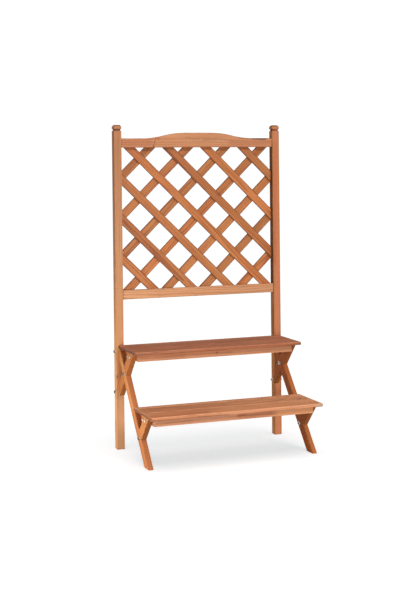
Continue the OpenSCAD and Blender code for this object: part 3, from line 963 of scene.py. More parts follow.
def square_stack(centre, levels):
    """A bar of squares on top of each other, each (height, half side)."""
    bm = bmesh.new()
    bmesh.ops.create_grid(bm, x_segments=1, y_segments=1, size=levels[0][1])
    bmesh.ops.translate(bm, vec=(*centre, levels[0][0]), verts=bm.verts)
    foot = top = bm.faces[:][0]
    for (low, half), (high, next_half) in zip(levels, levels[1:]):
        pushed = bmesh.ops.extrude_face_region(bm, geom=[top])["geom"]
        about = Matrix.Translation((-centre[0], -centre[1], -high))
        grow = next_half / half
        corners = only(VERT, pushed)
        bmesh.ops.translate(bm, vec=(0, 0, high - low), verts=corners)
        bmesh.ops.scale(bm, vec=(grow, grow, 1), verts=corners, space=about)
        if top is not foot:
            bmesh.ops.delete(bm, geom=[top], context="FACES_ONLY")
        top = only(FACE, pushed)[0]
    bmesh.ops.recalc_face_normals(bm, faces=bm.faces)
    return bm


for number, side in enumerate(SIDES):
    low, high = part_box("post_" + side)
    half = (high.x - low.x) / 2
    centre = ((low.x + high.x) / 2, (low.y + high.y) / 2)
    levels = [
        (low.z, half),
        (GROOVE_LOW, half),
        (GROOVE_LOW, half - GROOVE_DEPTH),
        (GROOVE_HIGH, half - GROOVE_DEPTH),
        (GROOVE_HIGH, half),
        (high.z - HEAD_CHAMFER, half),
        (high.z, half - HEAD_CHAMFER),
    ]
    bm = ease_edges(square_stack(centre, levels), POST_ROUND)
    # The faces in the groove take the darkening of the cut ends: painted shade in the groove
    darkened = bm.faces.layers.float.new("end")
    for face in bm.faces:
        if GROOVE_LOW < face.calc_center_median().z < GROOVE_HIGH:
            face[darkened] = 1.0
    wooden_piece(bm, "turned_post_" + side, "post", ALONG_Z, POST_LOG + number, "post_" + side)
print("posts made")

# %% [markdown]
# ## The trellis rails
# The bottom rail is a plain bar. The top rail rises in the middle: each shoulder is two
# arcs, one hollow and one round, that meet half way. A hand-drawn curve could follow it, but
# two arcs need only the length and the rise of the shoulder, and meet without a kink.

# %% Rails
ARCH_RISE = 0.020
ARCH_FLAT = 0.100
ARCH_RUN = 0.165
ARCH_STEPS = 20
RAIL_ROUND = 1.6 * MM
RAIL_LOG = 1


def arch_height(out):
    """Height of the arch above the rail's ends, at a distance out from its level middle."""
    radius = (ARCH_RUN**2 + ARCH_RISE**2) / (4 * ARCH_RISE)
    if out < ARCH_RUN / 2:
        return ARCH_RISE - radius + math.sqrt(radius**2 - out**2)
    return radius - math.sqrt(radius**2 - (ARCH_RUN - out) ** 2)


def arched_outline(low, high):
    """The top rail seen from the front: a level foot and an arched back."""
    shoulder = high.z - ARCH_RISE
    steps = [ARCH_RUN * i / ARCH_STEPS for i in range(ARCH_STEPS + 1)]
    right = [(ARCH_FLAT / 2 + out, shoulder + arch_height(out)) for out in reversed(steps)]
    left = [(-x, z) for x, z in reversed(right)]
    return [(low.x, low.z), (high.x, low.z), (high.x, shoulder), *right, *left, (low.x, shoulder)]


low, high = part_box("top_rail")
RAIL_TOP = high.z - ARCH_RISE
bm = ease_edges(from_outline(arched_outline(low, high), 1, low.y, high.y), RAIL_ROUND)
wooden_piece(bm, "arched_rail", "rail", ALONG_X_UPRIGHT, RAIL_LOG, "top_rail")

low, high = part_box("bottom_rail")
bm = ease_edges(from_outline(box_points("bottom_rail", 1), 1, low.y, high.y), RAIL_ROUND)
wooden_piece(bm, "plain_rail", "rail", ALONG_X_UPRIGHT, RAIL_LOG + 1, "bottom_rail")
print("rails made, arch", round(arch_height(0) / MM, 1), "mm high")

# %% [markdown]
# ## The lattice
# Two layers of thin slats cross behind the rails, and the panel's edges cut their ends in
# several ways. Working out the corners would take code for every case. So every slat starts
# as one long bar laid at the angle of the diamonds, and four planes trim it to the panel, as
# a saw would. The cut ends are then closed.

# %% The grid of the lattice
low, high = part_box("lattice_front_4")
DIAMONDS_ACROSS = 4
DIAMONDS_DOWN = 4
SLAT_WIDTH = 0.030
SLAT_THICK = high.y - low.y
SLAT_LAYER_Y = low.y
PANEL_HALF = high.x
PANEL_LOW = low.z
PANEL_HIGH = high.z
GRID_LIFT = 0.004
GRID_HIGH = RAIL_TOP
GRID_LOW = PANEL_LOW + GRID_LIFT
HALF_X = PANEL_HALF / DIAMONDS_ACROSS
HALF_Z = (GRID_HIGH - GRID_LOW) / (2 * DIAMONDS_DOWN)
SLAT_ANGLE = math.atan2(HALF_Z, HALF_X)
print("diamonds", round(2 * HALF_X / MM, 1), "by", round(2 * HALF_Z / MM, 1), "mm")

# %% Lattice slats
UNCUT_LENGTH = 3.0
SLAT_ROUND = 0.9 * MM
SLAT_LOG = 10
LAYER_LOG = 8
# The width in mm, strength and colour of the painted shade along the slats' edges
SLAT_EDGE_SHADE = (4.0, 0.7, DEEP_SHADE)


def trim(bm, point, outwards):
    """Saws off what lies outside a plane and closes the cut."""
    everything = bm.verts[:] + bm.edges[:] + bm.faces[:]
    bmesh.ops.bisect_plane(bm, geom=everything, plane_co=point, plane_no=outwards, clear_outer=True)
    close_holes(bm)


def slat_start(number):
    """Where a slat of the front layer meets the top of the grid, counted from the left."""
    return -PANEL_HALF + 2 * HALF_X * (number - DIAMONDS_DOWN)


def slat(number, layer):
    """A slat of the front layer, 0, or of the rear one, 1, which is its mirror image."""
    bm = bmesh.new()
    bmesh.ops.create_cube(bm, size=1)
    bmesh.ops.scale(bm, vec=(UNCUT_LENGTH, SLAT_THICK, SLAT_WIDTH), verts=bm.verts)
    bmesh.ops.rotate(bm, matrix=Matrix.Rotation(SLAT_ANGLE, 3, "Y"), verts=bm.verts)
    middle_y = SLAT_LAYER_Y + SLAT_THICK * (layer + 0.5)
    bmesh.ops.translate(bm, vec=(slat_start(number), middle_y, GRID_HIGH), verts=bm.verts)
    if layer:
        bmesh.ops.scale(bm, vec=(-1, 1, 1), verts=bm.verts)
        bmesh.ops.reverse_faces(bm, faces=bm.faces)
    trim(bm, (PANEL_HALF, 0, 0), (1, 0, 0))
    trim(bm, (-PANEL_HALF, 0, 0), (-1, 0, 0))
    trim(bm, (0, 0, PANEL_HIGH), (0, 0, 1))
    trim(bm, (0, 0, PANEL_LOW), (0, 0, -1))
    return bm


def slat_edge_shade(number, layer):
    """Painted shade: dark strokes down both edges of a slat."""
    way = (1, -1)[layer]
    y = SLAT_LAYER_Y + SLAT_THICK * layer
    centre = Vector((way * slat_start(number), y, GRID_HIGH))
    along = Vector((way * math.cos(SLAT_ANGLE), 0, -math.sin(SLAT_ANGLE)))
    across = Vector((way * math.sin(SLAT_ANGLE), 0, math.cos(SLAT_ANGLE)))
    strokes = []
    for side in (-1, 1):
        edge = centre + across * side * SLAT_WIDTH / 2
        strokes.append((edge - along, edge + along, *SLAT_EDGE_SHADE))
    return strokes


for layer, name in enumerate(("front", "rear")):
    turn = (ALONG_X_UPRIGHT[0], 0, SLAT_ANGLE * (1, -1)[layer])
    for number in range(1, DIAMONDS_ACROSS + DIAMONDS_DOWN):
        node = f"lattice_{name}_{number}"
        bm = ease_edges(slat(number, layer), SLAT_ROUND)
        place = SLAT_LOG + LAYER_LOG * layer + number
        edges = slat_edge_shade(number, layer)
        wooden_piece(bm, f"slat_{name}_{number}", "slat", turn, place, node, edges)
print("slats", 2 * (DIAMONDS_ACROSS + DIAMONDS_DOWN - 1))

# %% [markdown]
# ## The side frames
# A leg and its brackets lie in one plane and are halved where they cross: the leg keeps its
# outer half and the bracket its inner half, so both faces stay flush. Subtracting one piece
# from the other would cut the notch too, but would leave two faces in one plane to chance.
# So one outline is pushed half way, its end face is divided along the edges of the piece that
# crosses, and only the parts that stay are pushed the rest of the way.

# %% Lines of the side frame
UNDER_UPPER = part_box("upper_board_front")[0].z
UNDER_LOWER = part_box("lower_board_front")[0].z
UPPER_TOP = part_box("upper_board_front")[1].z
LOWER_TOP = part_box("lower_board_front")[1].z
POST_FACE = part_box("post_left")[0].y
LEG_WIDTH = 0.035
BRACKET_WIDTH = 0.038
LEG_LEAN = math.radians(41.5)
BRACKET_LEAN = math.radians(43.5)
LEG_LEAD = 0.005
CROSSING_DROP = 0.096
LEG_RUN = LEG_WIDTH / math.cos(LEG_LEAN)
BRACKET_RUN = BRACKET_WIDTH / math.cos(BRACKET_LEAN)
LEG_SLOPE = math.tan(LEG_LEAN)
BRACKET_SLOPE = math.tan(BRACKET_LEAN)


def leg_front(z):
    """How far forward the front edge of the leg lies at a height, as a Y."""
    return POST_FACE - LEG_LEAD - (UNDER_UPPER - z) * LEG_SLOPE


def bracket_front(z, shelf_top):
    """The same for a shelf's bracket, whose front edge meets the leg's at the crossing."""
    vertex = shelf_top - CROSSING_DROP
    return leg_front(vertex) - (z - vertex) * BRACKET_SLOPE


def leg_lines():
    """The front and rear edge of the leg, each as a point and a normal in Y and Z."""
    normal = (math.cos(LEG_LEAN), -math.sin(LEG_LEAN))
    return [((leg_front(0) + run, 0), normal) for run in (0, LEG_RUN)]


def bracket_lines(shelf_top):
    """The front and rear edge of a bracket, in the same way."""
    start = bracket_front(shelf_top, shelf_top)
    normal = (math.cos(BRACKET_LEAN), math.sin(BRACKET_LEAN))
    return [((start + run, shelf_top), normal) for run in (0, BRACKET_RUN)]


def between(lines, y, z):
    """Whether a point lies in the strip between two parallel lines."""
    sides = [(y - point[0]) * normal[0] + (z - point[1]) * normal[1] for point, normal in lines]
    return sides[0] > 0 > sides[1]


print("leg", round(LEG_RUN / MM, 1), "and bracket", round(BRACKET_RUN / MM, 1), "mm along the floor")

# %% Outlines of the leg and the brackets
LEG_HEEL = UNDER_UPPER - (LEG_RUN - LEG_LEAD) / LEG_SLOPE
LEG_OUTLINE = [
    (leg_front(0), 0),
    (leg_front(UNDER_UPPER), UNDER_UPPER),
    (POST_FACE, UNDER_UPPER),
    (POST_FACE, LEG_HEEL),
    (leg_front(0) + LEG_RUN, 0),
]
UPPER_VERTEX = UPPER_TOP - CROSSING_DROP
LOWER_VERTEX = LOWER_TOP - CROSSING_DROP
BRACKET_FOOT = UPPER_VERTEX - (POST_FACE - leg_front(UPPER_VERTEX)) / BRACKET_SLOPE
UPPER_OUTLINE = [
    (bracket_front(UNDER_UPPER, UPPER_TOP), UNDER_UPPER),
    (bracket_front(UNDER_UPPER, UPPER_TOP) + BRACKET_RUN, UNDER_UPPER),
    (POST_FACE, BRACKET_FOOT + BRACKET_RUN / BRACKET_SLOPE),
    (POST_FACE, BRACKET_FOOT),
]
LOWER_TOE = LOWER_VERTEX - LEG_RUN / (LEG_SLOPE + BRACKET_SLOPE)
LOWER_HEEL = LOWER_TOE + BRACKET_RUN / (LEG_SLOPE + BRACKET_SLOPE)
LOWER_OUTLINE = [
    (bracket_front(UNDER_LOWER, LOWER_TOP), UNDER_LOWER),
    (bracket_front(UNDER_LOWER, LOWER_TOP) + BRACKET_RUN, UNDER_LOWER),
    (leg_front(LOWER_HEEL) + LEG_RUN, LOWER_HEEL),
    (leg_front(LOWER_TOE) + LEG_RUN, LOWER_TOE),
]
print("bracket foot at", round(BRACKET_FOOT, 4))

# %% Halved legs and brackets
# Points nearer than this, in metres, count as lying on a plane
HAIR = 1e-6
FRAME_ROUND = 1.2 * MM
LEG_LOG = 62
BRACKET_LOG = 34


def faces_at(bm, x):
    """The faces that lie in the plane at x."""
    return [face for face in bm.faces if all(abs(v.co.x - x) < HAIR for v in face.verts)]


def halved_bar(outline, start, middle, end, strips):
    """Pushes an outline from start to middle, and on to end where no strip crosses it."""
    bm = from_outline(outline, 0, start, middle)
    for point, normal in [line for lines in strips for line in lines]:
        faces = faces_at(bm, middle)
        edges = {e for face in faces for e in face.edges}
        verts = {v for face in faces for v in face.verts}
        bmesh.ops.bisect_plane(
            bm, geom=[*faces, *edges, *verts], plane_co=(middle, *point), plane_no=(0, *normal),
        )
    stays = []
    for face in faces_at(bm, middle):
        centre = face.calc_center_median()
        if not any(between(lines, centre.y, centre.z) for lines in strips):
            stays.append(face)
    pushed = bmesh.ops.extrude_face_region(bm, geom=stays)["geom"]
    bmesh.ops.translate(bm, vec=(end - middle, 0, 0), verts=only(VERT, pushed))
    bmesh.ops.delete(bm, geom=stays, context="FACES_KEEP_BOUNDARY")
    bmesh.ops.recalc_face_normals(bm, faces=bm.faces)
    return bm


# Painted shade along the edges of the legs and brackets
FRAME_EDGE_SHADE = (3.2, 0.6, PITCH)


def shade_edge_strokes(lines, foot, head, faces_x):
    """Painted shade: dark strokes down both edges of a bar, from foot to head."""
    strokes = []
    for (y, z), (across_y, across_z) in lines:
        lean = across_z / across_y
        for x in faces_x:
            start = (x, y - (foot - z) * lean, foot)
            stop = (x, y - (head - z) * lean, head)
            strokes.append((start, stop, *FRAME_EDGE_SHADE))
    return strokes


leg_turn = (0, math.pi / 2, -LEG_LEAN)
bracket_turn = (0, math.pi / 2, BRACKET_LEAN)
for number, side in enumerate(SIDES):
    low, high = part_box("leg_" + side)
    outer, inner = (low.x, high.x) if side == "left" else (high.x, low.x)
    middle = (outer + inner) / 2
    strips = [bracket_lines(UPPER_TOP), bracket_lines(LOWER_TOP)]
    bm = ease_edges(halved_bar(LEG_OUTLINE, outer, middle, inner, strips), FRAME_ROUND)
    dark = shade_edge_strokes(leg_lines(), 0, UNDER_UPPER, (outer, inner))
    wooden_piece(bm, "halved_leg_" + side, "leg", leg_turn, LEG_LOG + number, "leg_" + side, dark)
    brackets = (("upper", UPPER_OUTLINE, UPPER_TOP), ("lower", LOWER_OUTLINE, LOWER_TOP))
    for row, (shelf, outline, shelf_top) in enumerate(brackets):
        node = f"{shelf}_bracket_{side}"
        foot = outline[3][1]
        head = outline[0][1]
        dark = shade_edge_strokes(bracket_lines(shelf_top), foot, head, (outer, inner))
        bm = ease_edges(halved_bar(outline, inner, middle, outer, [leg_lines()]), FRAME_ROUND)
        place = BRACKET_LOG + 2 * number + row
        wooden_piece(bm, "halved_" + node, "leg", bracket_turn, place, node, dark)
print("side frames made, leg heel at", round(LEG_HEEL, 4))

# %% [markdown]
# ## The shelves
# Three boards lie across each shelf with gaps for the water to run off. An apron and two
# cleats below them hold the board ends. Copies of one board would save work, but would all
# show the same grain. All are planed bars, rounder on the boards, whose edges are handled
# most. The cut ends of the boards get a dark stroke as well: the end grain drank more stain,
# and the stroke also paints the shade on those ends.

# %% Boards, aprons and cleats
SHELVES = ("upper", "lower")
BOARD_ROUND = 2.2 * MM
APRON_ROUND = 1.5 * MM
CLEAT_ROUND = 1.3 * MM
BAR_LOG = 40
# The stroke on the board ends: darker end grain, and painted shade on those ends
DARK_END = (7.0, 0.75, PITCH)
# The bars: node, axis along which it is pushed, round on the edges, tone, turn of the log
PLANED_BARS = []
for shelf in SHELVES:
    for row in ("back", "middle", "front"):
        PLANED_BARS.append((f"{shelf}_board_{row}", 0, BOARD_ROUND, shelf + " board", ALONG_X))
for shelf in SHELVES:
    PLANED_BARS.append((f"{shelf}_apron", 0, APRON_ROUND, "apron", ALONG_X_UPRIGHT))
for shelf in SHELVES:
    for side in SIDES:
        PLANED_BARS.append((f"{shelf}_cleat_{side}", 1, CLEAT_ROUND, "cleat", ALONG_Y_UPRIGHT))


def dark_ends(node):
    """Strokes across the ends of a board, on the lower shelf only at its left end: darker end grain
    with painted shade.
    """
    low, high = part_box(node)
    middle = (low.z + high.z) / 2
    ends = (low.x, high.x) if "upper" in node else (low.x,)
    return [((x, low.y, middle), (x, high.y, middle), *DARK_END) for x in ends]


for number, (node, axis, edge_round, tone, turn) in enumerate(PLANED_BARS):
    low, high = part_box(node)
    bar = from_outline(box_points(node, axis), axis, low[axis], high[axis])
    strokes = dark_ends(node) if "board" in node else []
    bm = ease_edges(bar, edge_round, segments=3)
    wooden_piece(bm, "planed_" + node, tone, turn, BAR_LOG + number, node, strokes)
print(len(PLANED_BARS), "planed bars")

# %% [markdown]
# ## The dowels
# Dowels hold the rails in the posts and the aprons in the cleats, wholly inside the wood.
# Nobody sees them, so their plain solids stay and only get a finish.

# %% Dowels
DOWEL_LOG = 60
for name in ("rail_dowels", "apron_dowels"):
    low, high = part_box(name)
    finish = stained_pine("apron", name.replace("_", " "), ALONG_X, (low + high) / 2, DOWEL_LOG)
    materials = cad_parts[name].data.materials
    materials.clear()
    materials.append(finish)
print("apron dowels reach over", round(high.x - low.x, 3), "m")

# %% [markdown]
# ## Zinc
# Bolts, washers and nuts are zinc plated: bright, slightly uneven and a little dulled
# outdoors. Mixing in some paint would dull it, but would look like plastic: the metal stays
# fully metallic, and only its tint and its polish change, in blotches and in fine scuffs.
# The group gives both, and the screws and nails use it too.

# %% The scuffed zinc group and material
SCUFFS = (900.0, 2600.0, 2600.0)
SCUFF_RELIEF = 0.00008


def scuffed_zinc_group():
    """Blotches and scuffs that take zinc from bright to dull."""
    w, given = open_group(
        "scuffed zinc",
        [
            ("Vector", "Vector", None),
            ("Bright", "Color", (0.72, 0.73, 0.73, 1)),
            ("Dull", "Color", (0.42, 0.42, 0.40, 1)),
            ("Polish", "Float", 0.28),
        ],
        [("Color", "Color"), ("Roughness", "Float"), ("Height", "Float")],
    )
    blotches = w.noise(given["Vector"], 420, 4, 0.6)
    scuffs = w.streaks(given["Vector"], SCUFFS, 3, 0.6)
    blotched = w.math("MULTIPLY", w.span(blotches, 0.38, 0.72), 0.7)
    dulled = w.math("MULTIPLY_ADD", scuffs, 0.35, blotched, clamp=True)
    color = w.mix(dulled, given["Bright"], given["Dull"])
    rough = w.math("MULTIPLY_ADD", dulled, 0.35, given["Polish"])
    return w.close_group(Color=color, Roughness=rough, Height=scuffs)


SCUFFED_ZINC = scuffed_zinc_group()


def zinc(key, bright, dull, polish):
    """A zinc plated finish between two tints; a low polish value is a sharper shine."""
    material, w, shader = new_finish("zinc " + key)
    shader.inputs["Metallic"].default_value = 1.0
    where = w.node("TexCoord").outputs["Object"]
    scuffed = w.group(SCUFFED_ZINC, Vector=where, Bright=bright, Dull=dull, Polish=polish)
    w.feed(shader.inputs["Base Color"], scuffed["Color"])
    w.feed(shader.inputs["Roughness"], scuffed["Roughness"])
    w.bump(shader, scuffed["Height"], 0.25, SCUFF_RELIEF)
    return material


BOLT_ZINC = zinc("bolts", (0.74, 0.66, 0.54, 1), (0.38, 0.31, 0.23, 1), 0.26)
# Darker zinc, for the bolts through the posts and the crossings
DARK_BOLT_ZINC = zinc("dark bolts", (0.30, 0.23, 0.17, 1), (0.15, 0.10, 0.07, 1), 0.46)
NUT_ZINC = zinc("nuts", (0.98, 0.97, 0.94, 1), (0.80, 0.77, 0.72, 1), 0.50)
WASHER_ZINC = zinc("washers", (0.56, 0.54, 0.50, 1), (0.30, 0.27, 0.24, 1), 0.32)
SCREW_ZINC = zinc("screws", (0.80, 0.72, 0.52, 1), (0.48, 0.40, 0.26, 1), 0.26)
NAIL_ZINC = zinc("nails", (0.62, 0.62, 0.61, 1), (0.30, 0.27, 0.24, 1), 0.38)
print("zinc finishes made")

# %% [markdown]
# ## Bolts, washers and nuts
# A hexagon head is turned as well as pressed: its top corners are cut back by a flat cone, so
# each side ends in a curve. A plain prism would do from afar, but close up the light shows
# that curve. It follows from one rule: a point of the rim drops by its distance beyond the
# flats times the slope of the cone. So every part is a wall of rings with a rule for each
# ring. It is made once at the origin, pointing along X, and stamped wherever the stand has
# a bolt.

# %% Sizes of the hardware
FLATS = 0.010
HEAD_THICK = 0.004
NUT_THICK = 0.005
BOLT_RADIUS = 0.003
WASHER_RADIUS = 0.0065
WASHER_THICK = 0.0016
BOLT_TAIL = 0.002
THREAD_PITCH = 0.001
CONE_SLOPE = math.tan(math.radians(30))
RIM_POINTS = 36
CROWN_RADIUS = FLATS * 0.47
HEAD_HOLLOW = FLATS * 0.3
NUT_BORE = BOLT_RADIUS * 0.9
NUT_MOUTH = BOLT_RADIUS * 1.12
WASHER_BORE = BOLT_RADIUS * 1.1
WASHER_EDGE = 0.0003
THREAD_ROOT = BOLT_RADIUS * 0.86
TIP_RADIUS = BOLT_RADIUS * 0.84
TIP_LENGTH = 0.0004
ROOT_SHARE = 0.45
LAND = 0.0001
BORE_STEP = 0.0003
print("bolts", round(2 * BOLT_RADIUS / MM, 1), "mm,", round(FLATS / MM, 1), "mm over the flats")

# %% Turned parts
def hexagon_radius(angle):
    """Distance from the middle to the side of the hexagon, in the direction of angle."""
    from_flat = (angle + math.radians(30)) % math.radians(60) - math.radians(30)
    return FLATS / 2 / math.cos(from_flat)


def rim(bm, heights_and_radii):
    """Joins rings of points into a wall; each ring gives x and radius for an angle."""
    angles = [2 * math.pi * i / RIM_POINTS for i in range(RIM_POINTS)]
    start = bmesh.ops.create_circle(bm, segments=RIM_POINTS, radius=1, cap_ends=False)["verts"]
    loop = bm.edges[:]
    rings = [start]
    for _ in heights_and_radii[1:]:
        pushed = bmesh.ops.extrude_edge_only(bm, edges=loop)["geom"]
        loop = only(EDGE, pushed)
        rings.append(only(VERT, pushed))
    for ring, place in zip(rings, heights_and_radii):
        ring.sort(key=lambda v: math.atan2(v.co.y, v.co.x) % (2 * math.pi))
        for vert, angle in zip(ring, angles):
            x, radius = place(angle)
            vert.co = (x, radius * math.cos(angle), radius * math.sin(angle))


def round_ring(x, radius):
    """A plain ring, at x on the axis."""
    return lambda angle: (x, radius)


def hex_ring(x, cone):
    """A ring on the hexagon's sides; the cone lowers its corners, -1, 0 or 1 for its direction."""
    def place(angle):
        radius = hexagon_radius(angle)
        return x - cone * (radius - FLATS / 2) * CONE_SLOPE, radius
    return place


def stamp_mesh(rings, closed_ends):
    """A turned part: its ends are closed, or joined to each other round a bore."""
    bm = bmesh.new()
    rim(bm, rings)
    if closed_ends:
        close_holes(bm)
    else:
        bmesh.ops.bridge_loops(bm, edges=[e for e in bm.edges if e.is_boundary])
    bmesh.ops.recalc_face_normals(bm, faces=bm.faces)
    return to_mesh(bm, "stamp")


def thread_rings(start, end):
    """A shank whose surface rises and falls once for every turn of the thread."""
    rings = [round_ring(start, BOLT_RADIUS)]
    x = start
    while x + THREAD_PITCH < end - TIP_LENGTH:
        rings.append(round_ring(x + ROOT_SHARE * THREAD_PITCH, THREAD_ROOT))
        rings.append(round_ring(x + THREAD_PITCH, BOLT_RADIUS))
        x += THREAD_PITCH
    rings.append(round_ring(end, TIP_RADIUS))
    return rings


print("turned parts have", RIM_POINTS, "points to a ring")

# %% Stamps for the hardware
head_rings = [
    round_ring(HEAD_THICK, CROWN_RADIUS),
    hex_ring(HEAD_THICK - LAND, 1),
    hex_ring(0, 0),
    round_ring(0, HEAD_HOLLOW),
]
nut_rings = [
    round_ring(NUT_THICK - BORE_STEP, NUT_BORE),
    round_ring(NUT_THICK, NUT_MOUTH),
    round_ring(NUT_THICK, CROWN_RADIUS),
    hex_ring(NUT_THICK - LAND, 1),
    hex_ring(LAND, -1),
    round_ring(0, CROWN_RADIUS),
    round_ring(0, NUT_BORE),
]
washer_rings = [
    round_ring(0, WASHER_BORE),
    round_ring(0, WASHER_RADIUS - WASHER_EDGE),
    round_ring(WASHER_EDGE, WASHER_RADIUS),
    round_ring(WASHER_THICK - WASHER_EDGE, WASHER_RADIUS),
    round_ring(WASHER_THICK, WASHER_RADIUS - WASHER_EDGE),
    round_ring(WASHER_THICK, WASHER_BORE),
]
TAIL_START = -0.002
TAIL_LENGTH = WASHER_THICK + NUT_THICK + BOLT_TAIL
HEAD = stamp_mesh(head_rings, closed_ends=True)
NUT = stamp_mesh(nut_rings, closed_ends=False)
WASHER = stamp_mesh(washer_rings, closed_ends=False)
TAIL = stamp_mesh(thread_rings(TAIL_START, TAIL_LENGTH), closed_ends=True)
print("faces in a head", len(HEAD.polygons), "nut", len(NUT.polygons), "tail", len(TAIL.polygons))

# %% Bolt places
LEG_LOW, LEG_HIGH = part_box("leg_right")
POST_LOW, POST_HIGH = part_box("post_right")
CLEAT_LOW, CLEAT_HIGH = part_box("upper_cleat_right")
POST_MIDDLE = (POST_LOW.y + POST_HIGH.y) / 2
CLEAT_MIDDLE = (CLEAT_HIGH.z - CLEAT_LOW.z) / 2
LEG_BOLT_DROP = 0.0125
BRACKET_BOLT_RISE = 0.013


def crossing(shelf_top):
    """Middle of the crossing of the leg and the bracket of a shelf, in Y and Z."""
    rise = (BRACKET_RUN - LEG_RUN) / (2 * (LEG_SLOPE + BRACKET_SLOPE))
    z = shelf_top - CROSSING_DROP + rise
    return leg_front(z) + LEG_RUN / 2, z


def cleat_bolt(under, shelf_top):
    """Middle of the bracket's top, half way down the cleat, in Y and Z."""
    z = under - CLEAT_MIDDLE
    return bracket_front(z, shelf_top) + BRACKET_RUN / 2, z


# Each bolt: place in Y and Z, the face under its head and the face under its nut
BOLTS = {
    "post_bolts": [
        ((POST_MIDDLE, UNDER_UPPER - LEG_BOLT_DROP), POST_HIGH.x, POST_LOW.x),
        ((POST_MIDDLE, BRACKET_FOOT + BRACKET_BOLT_RISE), POST_HIGH.x, POST_LOW.x),
    ],
    "frame_bolts": [
        (crossing(UPPER_TOP), LEG_HIGH.x, LEG_LOW.x),
        (crossing(LOWER_TOP), LEG_HIGH.x, LEG_LOW.x),
    ],
    "shelf_bolts": [
        (cleat_bolt(UNDER_UPPER, UPPER_TOP), LEG_HIGH.x, CLEAT_LOW.x),
        (cleat_bolt(UNDER_LOWER, LOWER_TOP), LEG_HIGH.x, CLEAT_LOW.x),
    ],
}
for name, places in BOLTS.items():
    print(name, "at", [[round(c, 4) for c in place] for place, _, _ in places])

# %% Drive the bolts
BOLT_FINISH = {"post_bolts": DARK_BOLT_ZINC, "frame_bolts": DARK_BOLT_ZINC, "shelf_bolts": BOLT_ZINC}


def stamp(bm, mesh, place):
    """Adds a copy of a mesh, moved and turned by a matrix."""
    known = len(bm.verts)
    bm.from_mesh(mesh)
    bm.verts.ensure_lookup_table()
    bmesh.ops.transform(bm, matrix=place, verts=bm.verts[known:])


def facing(x, y, z, outwards, spin):
    """Turns a part made along +X to face outwards along X, spun round its own axis."""
    turn = Matrix.Identity(4) if outwards > 0 else Matrix.Rotation(math.pi, 4, "Z")
    return Matrix.Translation((x, y, z)) @ turn @ Matrix.Rotation(math.radians(spin), 4, "X")


washers = bmesh.new()
nuts = bmesh.new()
spin = 11  # degrees; each bolt ends up at another turn, as when tightened by hand
for name, places in BOLTS.items():
    heads = bmesh.new()
    for side in (-1, 1):
        for (y, z), under_head, under_nut in places:
            spin = (spin * 7 + 13) % 60
            stamp(heads, HEAD, facing(side * (under_head + WASHER_THICK), y, z, side, spin))
            stamp(heads, TAIL, facing(side * under_nut, y, z, -side, spin))
            stamp(washers, WASHER, facing(side * under_head, y, z, side, 0))
            stamp(washers, WASHER, facing(side * under_nut, y, z, -side, 0))
            stamp(nuts, NUT, facing(side * (under_nut - WASHER_THICK), y, z, -side, spin * 3))
    finish_piece(heads, "hexagon_" + name, BOLT_FINISH[name], [name])
finish_piece(washers, "round_washers", WASHER_ZINC, ["washers"])
finish_piece(nuts, "hexagon_nuts", NUT_ZINC, ["nuts"])
print("bolts driven", 2 * sum(len(places) for places in BOLTS.values()))

# %% [markdown]
# ## Screws and nails
# The screws come up through cleats and aprons, so only their heads show, from below: a
# countersunk disc with a cross recess. A dark cross painted on would do from afar, but catches
# no light, so the cross is drawn first, the disc is bridged to it, and the cross is pushed
# in. The nails were driven from behind, and each head is a low dome pressed into the slat.

# %% Screw and nail stamps
SCREW_HEAD = 0.004
RECESS_REACH = 0.0022
RECESS_HALF = 0.0005
RECESS_DEPTH = 0.0012
RECESS_TAPER = 0.6
HEAD_TAPER = 0.5
PROUD = 0.0002
SCREW_POINTS = 24


def push_down(bm, edges, depth, taper):
    """Extrudes a loop downwards and narrows it; gives what was made."""
    made = bmesh.ops.extrude_edge_only(bm, edges=edges)["geom"]
    verts = only(VERT, made)
    bmesh.ops.translate(bm, vec=(0, 0, -depth), verts=verts)
    bmesh.ops.scale(bm, vec=(taper, taper, 1), verts=verts)
    return made


def screw_head_mesh():
    """A disc with a cross let into it, looking along +X."""
    bm = bmesh.new()
    bmesh.ops.create_circle(bm, segments=SCREW_POINTS, radius=SCREW_HEAD, cap_ends=False)
    rim_edges = bm.edges[:]
    quarter = [(RECESS_REACH, -RECESS_HALF), (RECESS_REACH, RECESS_HALF), (RECESS_HALF, RECESS_HALF)]
    cross = []
    for number in range(4):
        turn = Matrix.Rotation(number * math.pi / 2, 3, "Z")
        cross += [bm.verts.new(turn @ Vector((x, y, 0))) for x, y in quarter]
    inner = [bm.edges.new(pair) for pair in zip(cross, cross[1:] + cross[:1])]
    bmesh.ops.bridge_loops(bm, edges=[*rim_edges, *inner])
    sides = only(EDGE, push_down(bm, inner, RECESS_DEPTH, RECESS_TAPER))
    bmesh.ops.holes_fill(bm, edges=[e for e in sides if e.is_boundary], sides=0)
    push_down(bm, rim_edges, SCREW_HEAD / 2, HEAD_TAPER)
    close_holes(bm)
    bmesh.ops.recalc_face_normals(bm, faces=bm.faces)
    bmesh.ops.rotate(bm, matrix=Matrix.Rotation(math.pi / 2, 3, "Y"), verts=bm.verts)
    bmesh.ops.translate(bm, vec=(PROUD, 0, 0), verts=bm.verts)
    return to_mesh(bm, "screw head")


SCREW = screw_head_mesh()
NAIL_HEAD = 0.00198
# The nail's head from its dome to its underside: height, and radius as a share of the head
NAIL_PROFILE = [(0.00035, 0.3), (0.0003, 0.7), (0.0001, 1.0), (-0.0006, 1.0), (-0.0008, 0.5)]
nail_rings = [round_ring(x, NAIL_HEAD * share) for x, share in NAIL_PROFILE]
NAIL = stamp_mesh(nail_rings, closed_ends=True)
print("faces in a screw", len(SCREW.polygons), "nail", len(NAIL.polygons))

# %% Drive the screws
BACK_SCREW = 0.75
MIDDLE_SCREWS = (0.2, 0.75)
APRON_SCREWS = (-0.75, -0.25, 0.25, 0.75)
SCREW_TURN = 0.5
SIDE_SPIN = 25


